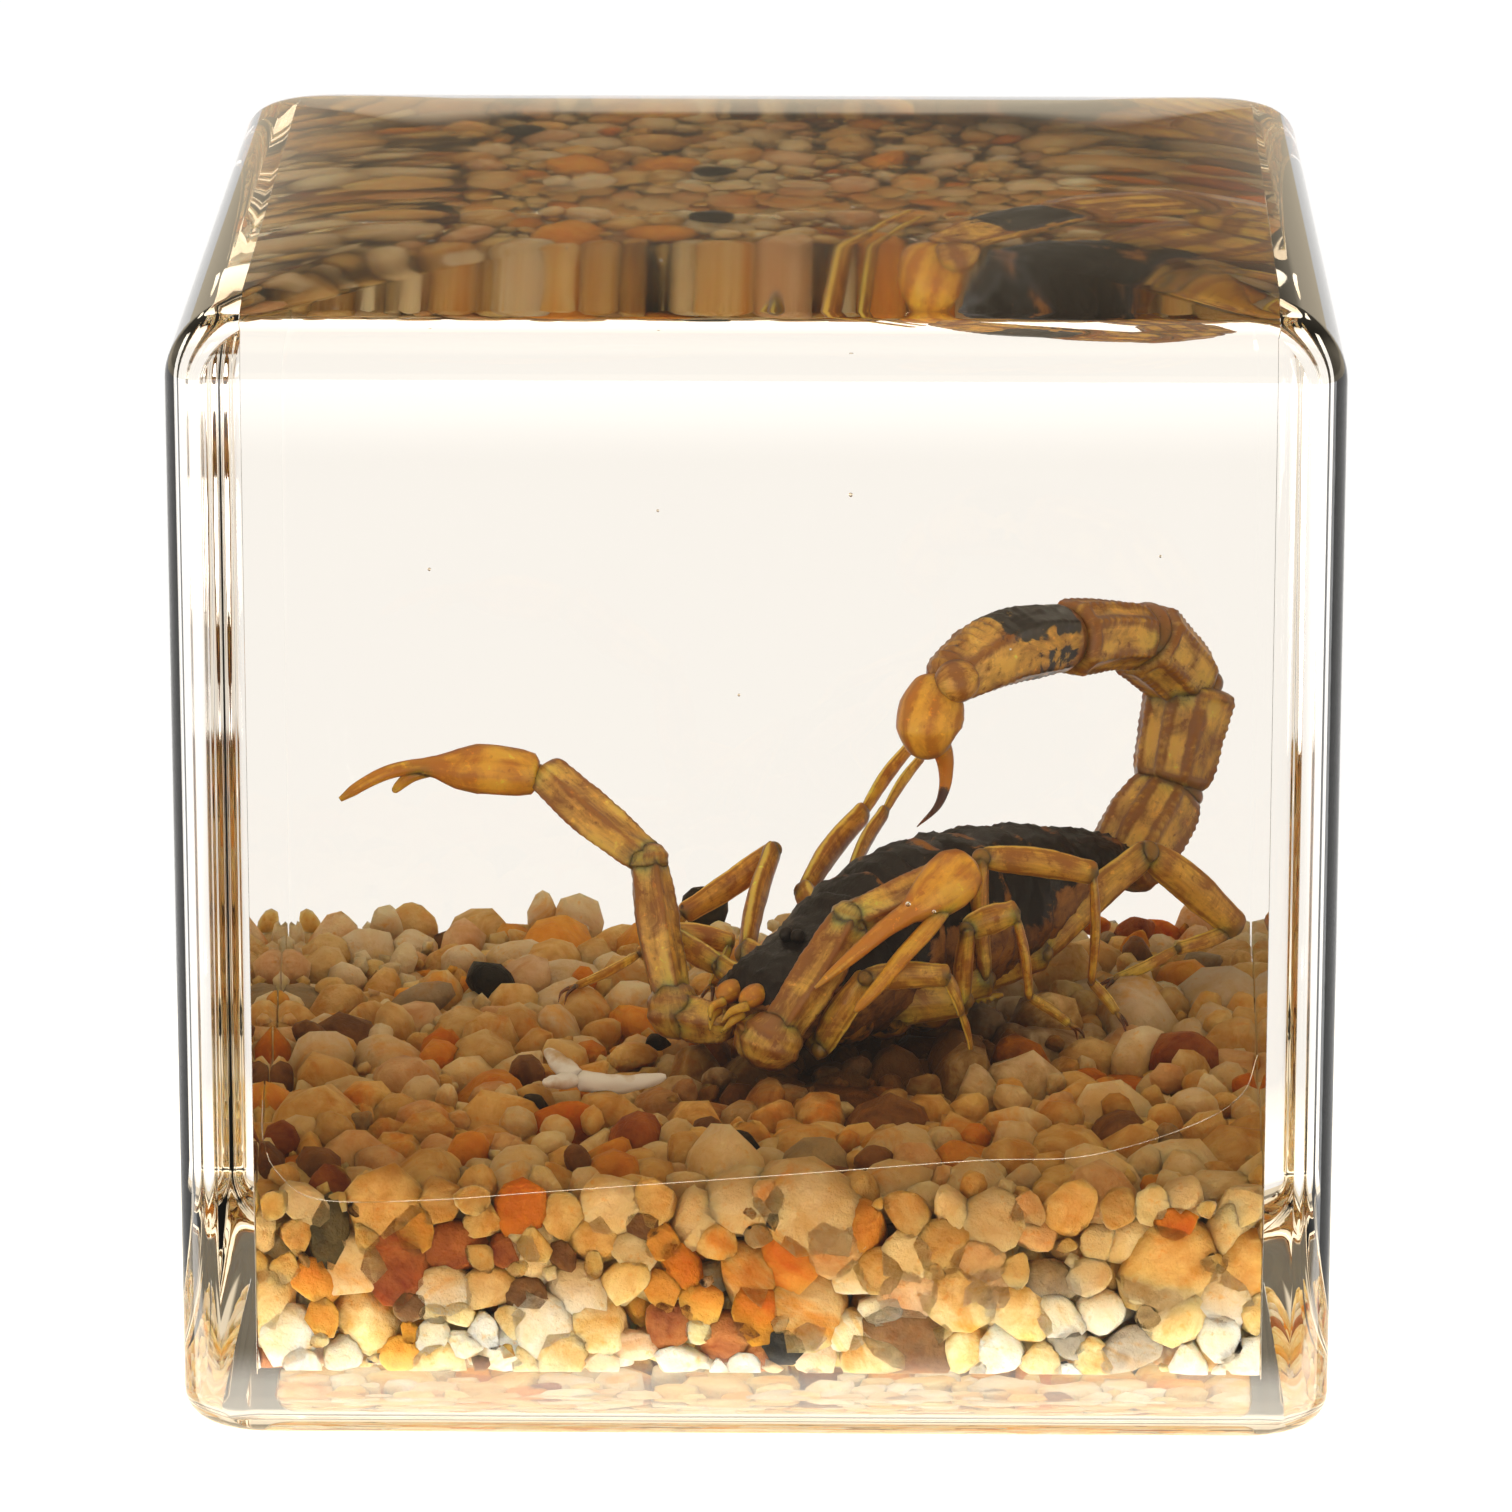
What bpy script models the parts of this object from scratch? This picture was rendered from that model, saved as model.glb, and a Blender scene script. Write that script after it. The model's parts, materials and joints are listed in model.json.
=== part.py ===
"""A small scorpion on a bed of gravel, cast in a clear resin block.

Sizes are in millimetres and become metres where a mesh is made. The origin is the middle of the
underside, +Z is up and the front of the block faces -Y. The block, the gravel bed, the bit of shell
and the scorpion are solids of their own, a small gap apart.
"""

import math
import random

import bmesh
import bpy
from mathutils import Vector

MM = 0.001
GAP = 0.3  # between neighbouring solids

# Resin block
BLOCK_WIDTH = 44.0
BLOCK_DEPTH = 44.0
BLOCK_HEIGHT = 45.0
CORNER_RADIUS = 1.5  # upright edges
FOOT_RADIUS = 2.0  # edge round the underside
RIM_RADIUS = 2.3  # edge round the top
CROWN_REACH = 10.0  # how far in from the sides the polished top starts to fall
CROWN_ANGLE = 12.0  # slope of the top where it meets the rim, in degrees
CORNER_SOFTENING = 0.35  # growth of the corner radius for each millimetre turned in
ARC_STEPS = 4  # facets round each rounded edge

# Gravel bed, a slab of small stones set in the first pour
WALL = 2.8  # clear resin round the bed
FLOOR = 2.5  # clear resin under the bed
BED_FRONT = 9.7  # height of the bed's surface at its front
BED_SLOPE = 0.094  # rise of that surface towards the back
STONE_PITCH = 2.9  # distance from one surface stone to the next
STONE_RISE = 0.5  # how far the stones stand above and below the mean surface
STONE_SHIFT = 0.2  # how far a stone leaves its place in the rows, as a share of the row spacing
STONE_SEED = 7

# Scorpion: its middle plane is upright, with the head at the front left and the tail at the back right
HEAD = Vector((-0.5, -4.1))  # front edge of the carapace, in plan
HEADING = 45.0  # direction from head to tail, in degrees from +X
LIMB_SIDES = 6
TRUNK_SIDES = 14

# Pocket in the resin that holds the animal
POCKET_CLEARANCE = 0.35
POCKET_SIDES = 4  # outline of the pocket round a limb
POCKET_SWELL = 1.07  # the pocket's straight facets pass outside the trunk's curves
POCKET_DROP = 0.4  # opens the trunk's pocket downwards to the bed
POCKET_STATIONS = (-0.6, 2.8, 5.2, 8.2, 12.0, 16.0, 20.6)

ROOT = bpy.context.scene.collection


def clear_scene():
    for obj in list(bpy.data.objects):
        bpy.data.objects.remove(obj, do_unlink=True)


def material(name, colour, roughness, transmission=0.0, ior=1.5):
    mat = bpy.data.materials.new(name)
    mat.use_nodes = True
    shader = mat.node_tree.nodes["Principled BSDF"]
    shader.inputs["Base Color"].default_value = (*colour, 1.0)
    shader.inputs["Roughness"].default_value = roughness
    shader.inputs["Transmission Weight"].default_value = transmission
    shader.inputs["IOR"].default_value = ior
    return mat


def helper_collection(name):
    """A collection for shapes that are only joined to or cut from others."""
    group = bpy.data.collections.new(name)
    group.hide_render = True
    ROOT.children.link(group)
    return group


def add_object(name, bm, group):
    """One object from a bmesh in millimetres, its faces pointing out."""
    bmesh.ops.recalc_face_normals(bm, faces=bm.faces)
    bmesh.ops.scale(bm, vec=(MM, MM, MM), verts=bm.verts)
    mesh = bpy.data.meshes.new(name)
    bm.to_mesh(mesh)
    bm.free()
    obj = bpy.data.objects.new(name, mesh)
    group.objects.link(obj)
    if group is not ROOT:
        obj.hide_render = True
        obj.display_type = "WIRE"
    return obj


def loft(name, rings, group):
    """A closed solid through rings of points, with a flat cap on the first and the last."""
    bm = bmesh.new()
    loops = [[bm.verts.new(point) for point in ring] for ring in rings]
    count = len(loops[0])
    for lower, upper in zip(loops, loops[1:]):
        for i in range(count):
            j = (i + 1) % count
            bm.faces.new((lower[i], lower[j], upper[j], upper[i]))
    bm.faces.new(loops[0][::-1])
    bm.faces.new(loops[-1])
    return add_object(name, bm, group)


def boolean(obj, operation, name, other):
    """A Boolean modifier, with one object or a whole collection as its operand."""
    modifier = obj.modifiers.new(name, "BOOLEAN")
    modifier.operation = operation
    modifier.solver = "EXACT"
    if isinstance(other, bpy.types.Collection):
        modifier.operand_type = "COLLECTION"
        modifier.collection = other
    else:
        modifier.object = other


def shade_smooth(obj, angle=35.0):
    obj.data.shade_smooth()
    obj.data.set_sharp_from_angle(angle=math.radians(angle))


# ---------------------------------------------------------------- resin block and gravel bed


def bed_height(y):
    """Mean height of the gravel's surface, which rises towards the back."""
    return BED_FRONT + BED_SLOPE * (y + BLOCK_DEPTH / 2 - WALL)


def rounded_rectangle(width, depth, radius, z):
    ring = []
    for corner in range(4):
        sign_x = 1 if corner in (0, 3) else -1
        sign_y = 1 if corner in (0, 1) else -1
        for i in range(ARC_STEPS + 1):
            angle = math.radians(90 * corner + 90 * i / ARC_STEPS)
            x = sign_x * (width / 2 - radius) + radius * math.cos(angle)
            y = sign_y * (depth / 2 - radius) + radius * math.sin(angle)
            ring.append(Vector((x, y, z)))
    return ring


def block_profile():
    """(inset, height) up the side of the block: foot, wall, rim, then the long shallow fall of the top."""
    profile = []
    for i in range(ARC_STEPS + 1):
        angle = math.radians(90 * i / ARC_STEPS)
        profile.append((FOOT_RADIUS * (1 - math.sin(angle)), FOOT_RADIUS * (1 - math.cos(angle))))
    slope = math.radians(CROWN_ANGLE)
    rim_inset = RIM_RADIUS * (1 - math.sin(slope))
    crown_radius = (CROWN_REACH - rim_inset) / math.sin(slope)
    rim_centre = BLOCK_HEIGHT - crown_radius * (1 - math.cos(slope)) - RIM_RADIUS * math.cos(slope)
    for i in range(ARC_STEPS + 1):
        angle = (math.pi / 2 - slope) * i / ARC_STEPS
        profile.append((RIM_RADIUS * (1 - math.cos(angle)), rim_centre + RIM_RADIUS * math.sin(angle)))
    for i in range(1, ARC_STEPS + 1):
        angle = slope * (1 - i / ARC_STEPS)
        inset = CROWN_REACH - crown_radius * math.sin(angle)
        profile.append((inset, BLOCK_HEIGHT - crown_radius * (1 - math.cos(angle))))
    return profile


def block_solid(name, group):
    """The whole block. Its upright edges get a little rounder where the foot, rim and crown turn in."""
    rings = []
    for inset, height in block_profile():
        radius = CORNER_RADIUS + CORNER_SOFTENING * inset
        rings.append(
            rounded_rectangle(BLOCK_WIDTH - 2 * inset, BLOCK_DEPTH - 2 * inset, radius, height)
        )
    return loft(name, rings, group)


def sloping_slab(name, half_width, half_depth, below, above, group):
    """A box whose underside and top lie at the given heights, or follow the bed's slope at an offset."""
    bm = bmesh.new()
    corners = []
    for level in (below, above):
        for x, y in ((-1, -1), (1, -1), (1, 1), (-1, 1)):
            z = level(y * half_depth) if callable(level) else level
            corners.append(bm.verts.new((x * half_width, y * half_depth, z)))
    for face in ((0, 3, 2, 1), (4, 5, 6, 7), (0, 1, 5, 4), (1, 2, 6, 5), (2, 3, 7, 6), (3, 0, 4, 7)):
        bm.faces.new([corners[i] for i in face])
    return add_object(name, bm, group)


def gravel_bed():
    """The bed: a triangular grid in which every third point is the top of a stone, with flat sides."""
    half = BLOCK_WIDTH / 2 - WALL
    rng = random.Random(STONE_SEED)
    shift = STONE_SHIFT
    columns = round(2 * half / (STONE_PITCH / math.sqrt(3)))
    rows = round(2 * half / (STONE_PITCH / 2))
    step_x = 2 * half / columns
    step_y = 2 * half / rows
    bm = bmesh.new()
    grid = []
    for row in range(rows + 1):
        odd = row % 2
        line = []
        for column in range(columns + 1 + odd):
            x = -half + step_x * (column - 0.5 * odd)
            y = -half + step_y * row
            if abs(x) < half - 0.6 * step_x and 0 < row < rows:
                x += rng.uniform(-shift, shift) * step_x
                y += rng.uniform(-shift, shift) * step_y
            x = min(max(x, -half), half)
            is_top = (column - (row + odd) // 2 - row) % 3 == 0
            share = rng.uniform(0.4, 1.0) if is_top else rng.uniform(-1.0, -0.3)
            line.append(bm.verts.new((x, y, bed_height(y) + STONE_RISE * share)))
        grid.append(line)
    for lower, upper in zip(grid, grid[1:]):
        i = j = 0
        while i < len(lower) - 1 or j < len(upper) - 1:
            at_end = j == len(upper) - 1
            if at_end or (i < len(lower) - 1 and lower[i + 1].co.x <= upper[j + 1].co.x):
                bm.faces.new((lower[i], lower[i + 1], upper[j]))
                i += 1
            else:
                bm.faces.new((lower[i], upper[j + 1], upper[j]))
                j += 1
    border = [edge for edge in bm.edges if edge.is_boundary]
    made = bmesh.ops.extrude_edge_only(bm, edges=border)["geom"]
    for vert in (item for item in made if isinstance(item, bmesh.types.BMVert)):
        vert.co.z = FLOOR
    foot = [item for item in made if isinstance(item, bmesh.types.BMEdge) and item.is_boundary]
    bmesh.ops.contextual_create(bm, geom=foot)
    obj = add_object("gravel_bed", bm, ROOT)
    shade_smooth(obj, 20.0)
    return obj


# ---------------------------------------------------------------- scorpion


def body_point(along, side, height):
    """A point by its distance back from the head, its distance to the animal's left, and its height."""
    back = Vector((math.cos(math.radians(HEADING)), math.sin(math.radians(HEADING))))
    left = Vector((back.y, -back.x))
    plan = HEAD + back * along + left * side
    return Vector((plan.x, plan.y, height))


def oval_ring(centre, forward, up, half_width, half_height, sides):
    """A ring square to forward, half_height measured along up."""
    forward = forward.normalized()
    across = forward.cross(up).normalized()
    rise = across.cross(forward).normalized()
    ring = []
    for i in range(sides):
        angle = 2 * math.pi * (i + 0.5) / sides
        ring.append(centre + across * half_width * math.cos(angle) + rise * half_height * math.sin(angle))
    return ring


LIMB_SHAPE = ((-0.06, 0.6), (0.2, 1.0), (0.75, 0.95), (1.06, 0.6))  # (share of length, share of thickness)


def segment(
    name,
    start,
    end,
    half_width,
    group,
    half_height=None,
    up=None,
    shape=LIMB_SHAPE,
    sides=LIMB_SIDES,
    arch=0.0,
):
    """One limb segment: a closed tapering solid from joint to joint, a little past both."""
    half_height = half_height or half_width
    start, end = Vector(start), Vector(end)
    forward = end - start
    up = up or (Vector((0, 0, 1)) if abs(forward.normalized().z) < 0.9 else Vector((1, 0, 0)))
    rings = []
    for fraction, scale in shape:
        inner = min(max(fraction, 0.0), 1.0)
        centre = start + forward * fraction + Vector((0, 0, 4 * arch * inner * (1 - inner)))
        rings.append(oval_ring(centre, forward, up, half_width * scale, half_height * scale, sides))
    return loft(name, rings, group)


BULB_SHAPE = ((0.0, 0.45), (0.17, 0.82), (0.45, 1.0), (0.75, 0.88), (1.0, 0.4))


def bulb(name, centre, direction, length, half_width, group, sides=LIMB_SIDES):
    """A rounded lump about a point."""
    reach = direction.normalized() * length / 2
    segment(name, centre - reach, centre + reach, half_width, group, shape=BULB_SHAPE, sides=sides)


def mix(stations, along):
    """The value at a distance along the body, between (distance, value) stations."""
    for (a, first), (b, second) in zip(stations, stations[1:]):
        if along <= b:
            share = (along - a) / (b - a)
            return first + (second - first) * min(max(share, 0.0), 1.0)
    return stations[-1][1]


# Heights and half width of the trunk by distance from the head
BACK = (
    (-0.2, 15.6), (0.4, 16.0), (2.6, 16.6), (4.0, 17.3), (5.2, 18.4), (8.2, 19.6), (11.5, 19.9),
    (15.0, 19.8), (18.0, 19.2), (20.2, 18.6),
)
BELLY = (
    (-0.2, 13.6), (0.4, 12.7), (2.0, 12.3), (5.0, 12.3), (8.0, 12.9), (13.0, 13.4), (17.5, 14.3),
    (20.2, 15.6),
)
BREADTH = (
    (-0.2, 1.8), (0.4, 2.1), (3.0, 2.8), (5.2, 3.1), (9.0, 3.3), (14.0, 3.3), (17.5, 2.7), (20.2, 1.6),
)
WIDEST = 0.45  # height of the trunk's widest line, as a share of its depth
FLANK_POWER = 0.8  # under 1 makes the flanks fuller than an oval
CARAPACE_STATIONS = (-0.2, 0.4, 1.8, 3.4, 5.2)
PLATE_ENDS = (6.4, 7.9, 9.7, 11.7, 13.9, 16.4, 20.2)  # rear edges of the seven back plates
PLATE_STEP = 0.12  # length of the step down from one plate to the next
PLATE_FRONT = 0.955  # size of a plate's front edge, tucked under the one before


def trunk_ring(along, scale=1.0, grow=0.0, sides=TRUNK_SIDES, sink=0.0):
    """Cross-section of the trunk: a broad oval, flatter on the belly. Sink lowers its underside."""
    top = mix(BACK, along)
    bottom = mix(BELLY, along) - sink
    middle = bottom + WIDEST * (top - bottom)
    breadth = mix(BREADTH, along) * scale + grow
    ring = []
    for i in range(sides):
        angle = 2 * math.pi * (i + 0.5) / sides
        rise = math.sin(angle)
        reach = (top - middle if rise > 0 else middle - bottom) * scale + grow
        side = math.copysign(abs(math.cos(angle)) ** FLANK_POWER, math.cos(angle)) * breadth
        ring.append(body_point(along, side, middle + rise * reach))
    return ring


def trunk(name, group):
    """Carapace and seven back plates, each plate's rear edge standing over the next."""
    rings = [trunk_ring(along) for along in CARAPACE_STATIONS]
    start = CARAPACE_STATIONS[-1]
    for end in PLATE_ENDS:
        rings.append(trunk_ring(start + PLATE_STEP, PLATE_FRONT))
        rings.append(trunk_ring(end))
        start = end
    return loft(name, rings, group)


# Tail: ends of its five rings as (distance, height) in the middle plane, and their half thickness
TAIL_ENDS = ((21.0, 16.9), (23.9, 20.2), (24.9, 24.2), (22.2, 26.8), (17.8, 27.1), (10.9, 25.7))
TAIL_HALF = (1.65, 1.8, 1.68, 1.52, 1.42)
TAIL_ARCH = (0.0, 0.0, 0.15, 0.0, 0.45)  # how far the middle of each ring stands above the straight
TAIL_FLATNESS = 0.95  # a ring's depth for its breadth
TAIL_SHAPE = ((-0.03, 0.72), (0.12, 0.95), (0.5, 0.96), (0.85, 1.0), (0.98, 0.85), (1.04, 0.6))
TAIL_POCKET_SHAPE = ((-0.08, 1.06), (0.5, 1.06), (1.08, 1.06))
STING_BULB = ((10.0, 25.6), (10.1, 23.2))
BULB_LENGTH = 3.4
BULB_HALF = 1.3
STING = ((10.5, 23.5), (10.9, 22.5), (10.85, 21.6), (10.35, 20.9), (9.6, 20.6))
STING_HALF = (0.55, 0.4, 0.3, 0.2, 0.07)


def tail(group, grow=0.0):
    """Five rings, the bulb and the curved sting, or with grow the pocket round them."""
    across = body_point(0.0, 1.0, 0.0) - body_point(0.0, 0.0, 0.0)
    joints = [body_point(along, 0.0, height) for along, height in TAIL_ENDS]
    for i, (start, end) in enumerate(zip(joints, joints[1:])):
        half = TAIL_HALF[i] + grow
        segment(
            f"tail_ring_{i + 1}",
            start,
            end,
            half,
            group,
            half_height=half * TAIL_FLATNESS,
            up=across,
            shape=TAIL_POCKET_SHAPE if grow else TAIL_SHAPE,
            sides=8 if grow else 10,
            arch=TAIL_ARCH[i],
        )
    top, foot = (body_point(along, 0.0, height) for along, height in STING_BULB)
    length = BULB_LENGTH + 2 * grow
    bulb("sting_bulb", (top + foot) / 2, foot - top, length, BULB_HALF + grow, group, 6 if grow else 8)
    path = [body_point(along, 0.0, height) for along, height in STING]
    for i, (start, end) in enumerate(zip(path, path[1:])):
        past = 0.05 + grow / 2
        shape = ((-past, STING_HALF[i] + grow), (1 + past, STING_HALF[i + 1] + grow))
        sides = POCKET_SIDES if grow else LIMB_SIDES
        reach = around(1.0, sides) if grow else 1.0
        segment(f"sting_{i + 1}", start, end, reach, group, shape=shape, sides=sides)


# Legs from the body outwards: joints in millimetres, then the half thickness of each segment.
# Near legs are on the animal's left, towards the viewer; far legs are on its right.
LEGS = {
    "near_leg_1": (
        ((1.6, -3.2, 13.4), (2.4, -4.6, 12.6), (4.2, -5.6, 15.7), (7.3, -5.4, 15.8), (7.9, -4.4, 14.1),
         (8.3, -3.2, 12.3)),
        (0.75, 0.55, 0.52, 0.3, 0.22),
    ),
    "near_leg_2": (
        ((4.4, -1.6, 13.6), (8.0, -1.0, 13.9), (8.2, -1.8, 17.0), (10.0, -1.9, 17.7), (10.6, -0.7, 14.0),
         (12.2, 0.3, 12.7)),
        (0.8, 0.62, 0.55, 0.33, 0.22),
    ),
    "near_leg_3": (
        ((6.3, 0.2, 13.9), (8.9, 0.9, 14.4), (8.7, -0.1, 19.6), (13.1, 1.4, 18.7), (13.1, 2.4, 14.0),
         (14.1, 2.2, 12.8)),
        (0.85, 0.6, 0.55, 0.33, 0.22),
    ),
    "near_leg_4": (
        ((8.0, 2.0, 14.2), (11.1, 4.0, 14.9), (15.5, 7.0, 18.7), (19.0, 8.4, 15.2), (16.6, 7.0, 14.5),
         (14.1, 5.6, 13.5)),
        (0.9, 0.72, 0.7, 0.33, 0.24),
    ),
    "far_leg_1": (
        ((0.6, -2.2, 14.2), (-1.6, 0.4, 15.0), (-3.6, 1.2, 16.2), (-1.2, 1.6, 15.7), (-1.9, 0.6, 14.2)),
        (0.6, 0.5, 0.48, 0.26),
    ),
    "far_leg_2": (
        ((2.0, 0.0, 14.4), (-0.8, 4.0, 14.8), (0.2, 8.0, 18.2), (-3.1, 8.0, 15.7), (-4.9, 7.5, 14.1),
         (-7.4, 6.2, 13.0)),
        (0.6, 0.48, 0.34, 0.28, 0.2),
    ),
    "far_leg_3": (
        ((3.2, 1.6, 14.8), (1.5, 6.0, 17.0), (4.0, 10.5, 19.5), (5.9, 13.0, 21.8)),
        (0.6, 0.5, 0.3),
    ),
    "far_leg_4": (
        ((5.2, 3.6, 15.2), (3.6, 7.0, 17.7), (4.9, 10.0, 19.6), (6.4, 12.2, 21.5)),
        (0.6, 0.4, 0.26),
    ),
}

# Pincer arms, in the same way: trunk, trochanter, arm joints and wrist
ARMS = {
    "near_arm": (
        ((-0.3, -4.6, 13.4), (0.5, -5.8, 12.9), (3.5, -4.5, 17.9), (7.5, -3.1, 19.6)),
        (1.0, 0.9, 0.88),
    ),
    "far_arm": (
        ((-1.2, -3.4, 13.4), (-3.5, -2.1, 13.6), (-4.6, -0.4, 19.4), (-8.6, 1.5, 22.8)),
        (0.95, 0.84, 0.92),
    ),
}

# Hands: wrist, middle of the palm, root of the fingers, then the fingers themselves with their half thickness
HANDS = {
    "near_hand": (
        ((7.9, -3.8, 19.7), (7.1, -4.7, 19.2), (6.2, -5.4, 18.5)),
        (1.05, 1.0),
        ((6.3, -5.4, 18.9), (4.2, -6.6, 17.4), (2.2, -7.6, 15.7)),
        ((7.2, -4.9, 18.5), (5.7, -6.3, 16.8), (3.8, -7.4, 14.7)),
        0.38,
    ),
    "far_hand": (
        ((-8.9, 1.6, 22.8), (-11.0, 1.6, 22.9), (-13.0, 1.3, 22.9)),
        (0.85, 0.7),
        ((-12.9, 1.3, 23.1), (-14.9, 0.6, 22.9), (-16.3, 0.0, 22.0)),
        ((-12.6, 1.4, 22.6), (-13.8, 1.0, 22.4), (-14.4, 0.8, 22.1)),
        0.24,
    ),
}


def around(radius, sides):
    """Corner radius of a regular outline whose flats lie at the given radius."""
    return radius / math.cos(math.pi / sides)


def pocket_shape(start, end, grow):
    """An even tube that runs past both ends of a segment by the clearance."""
    length = (Vector(end) - Vector(start)).length
    return ((-0.06 - grow / length, 1.0), (1.06 + grow / length, 1.0))


def chain(name, joints, halves, group, grow):
    """The segments of one leg or arm, or with grow the tubes that hold them."""
    for i, half in enumerate(halves):
        start = joints[i]
        end = joints[i + 1]
        label = f"{name}_{i + 1}"
        if grow:
            reach = around(half + grow, POCKET_SIDES)
            shape = pocket_shape(start, end, grow)
            segment(label, start, end, reach, group, shape=shape, sides=POCKET_SIDES)
        else:
            segment(label, start, end, half, group)


PALM_SHAPES = (((-0.12, 0.8), (0.3, 0.95), (1.0, 1.0)), ((-0.02, 1.0), (0.5, 0.95), (1.05, 0.55)))
PALM_POCKET_SHAPE = ((-0.35, 0.95), (1.0, 1.0))


def hand(name, palm, halves, fixed, moving, finger, group, grow):
    """A palm in two lengths with its fixed and its moving finger, or with grow their pockets."""
    sides = 6 if grow else 8
    for i, half in enumerate(halves):
        reach = around(half + grow, sides) if grow else half
        shape = PALM_POCKET_SHAPE if grow else PALM_SHAPES[i]
        segment(f"{name}_palm_{i + 1}", palm[i], palm[i + 1], reach, group, shape=shape, sides=sides)
    sides = POCKET_SIDES if grow else LIMB_SIDES
    widen = around(1.0, sides) if grow else 1.0
    for label, points in (("fixed", fixed), ("moving", moving)):
        first = ((-0.2, finger + grow), (1.03, 0.8 * finger + grow))
        last = ((-0.03, 0.8 * finger + grow), (1.0 + grow / 2, 0.35 * finger + grow))
        segment(f"{name}_{label}_1", points[0], points[1], widen, group, shape=first, sides=sides)
        segment(f"{name}_{label}_2", points[1], points[2], widen, group, shape=last, sides=sides)


def mouth(group, grow=0.0):
    """The two small mouth pincers that stand out under the front of the carapace."""
    forward = body_point(0.0, 0.0, 0.0) - body_point(1.0, 0.0, 0.0)
    for label, side in (("near", 0.62), ("far", -0.62)):
        bulb(f"mouth_{label}", body_point(-0.6, side, 15.1), forward, 2.2 + grow, 0.6 + grow, group)
        root = body_point(-1.2, side, 14.8)
        tip = body_point(-1.9, side * 0.6, 14.3)
        shape = ((-0.5, 1.0), (1.4, 1.0)) if grow else ((-0.2, 1.0), (1.0, 0.3))
        segment(f"mouth_{label}_tooth", root, tip, 0.2 + grow, group, shape=shape)


def eyes(group):
    """The hump with the middle eyes, on top of the carapace."""
    backward = body_point(1.0, 0.0, 0.0) - body_point(0.0, 0.0, 0.0)
    bulb("eye_hump", body_point(2.4, 0.0, 16.55), backward, 1.3, 0.4, group)


COMB_SHAPE = ((0.0, 1.0), (1.0, 0.6))


def combs(group):
    """The two sensory combs that hang below, behind the last pair of hips."""
    for label, side in (("near", 1.0), ("far", -1.0)):
        root = body_point(8.0, 0.3 * side, 13.3)
        tip = body_point(9.6, 2.6 * side, 13.5)
        segment(f"comb_{label}", root, tip, 0.5, group, half_height=0.25, shape=COMB_SHAPE)


def limbs(group, grow=0.0):
    """Everything that grows from the trunk, or with grow the pockets that hold it."""
    tail(group, grow)
    for name, (joints, halves) in LEGS.items():
        chain(name, joints, halves, group, grow)
    for name, (joints, halves) in ARMS.items():
        chain(name, joints, halves, group, grow)
    for name, (palm, halves, fixed, moving, finger) in HANDS.items():
        hand(name, palm, halves, fixed, moving, finger, group, grow)
    mouth(group, grow)


def scorpion(group):
    obj = trunk("scorpion", ROOT)
    limbs(group)
    eyes(group)
    combs(group)
    boolean(obj, "UNION", "grown_together", group)
    shade_smooth(obj)
    return obj


def scorpion_pocket(group):
    """The pocket: a plain tube for the trunk, and one for each limb segment."""
    rings = []
    for along in POCKET_STATIONS:
        rings.append(trunk_ring(along, POCKET_SWELL, POCKET_CLEARANCE, 10, POCKET_DROP))
    loft("trunk_pocket", rings, group)
    limbs(group, POCKET_CLEARANCE)


# ---------------------------------------------------------------- bit of shell


SHELL_FORK = Vector((-7.2, -8.0, 12.0))  # where its three branches meet
SHELL_BRANCHES = (
    ("long", Vector((-3.7, -8.0, 12.1)), 0.42),
    ("raised", Vector((-8.3, -6.6, 12.9)), 0.42),
    ("short", Vector((-8.4, -8.6, 12.0)), 0.34),
)
BRANCH_SHAPE = ((-0.1, 0.55), (0.3, 1.0), (0.8, 0.9), (1.05, 0.5))
BRANCH_POCKET_SHAPE = ((-0.15, 1.0), (1.15, 1.0))
KNOT_SHAPE = ((0.0, 0.7), (0.5, 1.0), (1.0, 0.7))


def shell_branches(group, grow=0.0):
    shape = BRANCH_POCKET_SHAPE if grow else BRANCH_SHAPE
    for label, tip, half in SHELL_BRANCHES:
        segment(f"shell_{label}", SHELL_FORK, tip, half + grow, group, shape=shape)


def shell_fragment(group):
    """A thin broken piece of shell or coral, three branches from a knot."""
    knot_end = SHELL_FORK + Vector((0.5, 0.0, 0.0))
    obj = segment("shell_fragment", SHELL_FORK, knot_end, 0.5, ROOT, shape=KNOT_SHAPE)
    shell_branches(group)
    boolean(obj, "UNION", "branches", group)
    shade_smooth(obj)
    return obj


# ---------------------------------------------------------------- assembly


def resin_halves(pockets):
    """The block parted along the bed's surface: a tray that holds the bed, and the cover cast over it."""
    cutters = helper_collection("cutters")
    inside = BLOCK_WIDTH / 2 - WALL + GAP
    far = BLOCK_WIDTH

    def parting_low(y):
        return bed_height(y) - GAP / 2

    def parting_high(y):
        return bed_height(y) + GAP / 2

    def stones_low(y):
        return bed_height(y) - STONE_RISE

    def stones_high(y):
        return bed_height(y) + STONE_RISE + GAP

    above = sloping_slab("above_parting", far, far, parting_low, 2 * far, cutters)
    below = sloping_slab("below_parting", far, far, -far, parting_high, cutters)
    hollow = sloping_slab("bed_hollow", inside, inside, FLOOR - GAP, 2 * far, cutters)
    sloping_slab("stone_tops", inside, inside, stones_low, stones_high, pockets)
    base = block_solid("resin_base", ROOT)
    boolean(base, "DIFFERENCE", "parting", above)
    boolean(base, "DIFFERENCE", "bed_hollow", hollow)
    cover = block_solid("resin_cover", ROOT)
    boolean(cover, "DIFFERENCE", "parting", below)
    boolean(cover, "DIFFERENCE", "pockets", pockets)
    return base, cover


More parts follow.
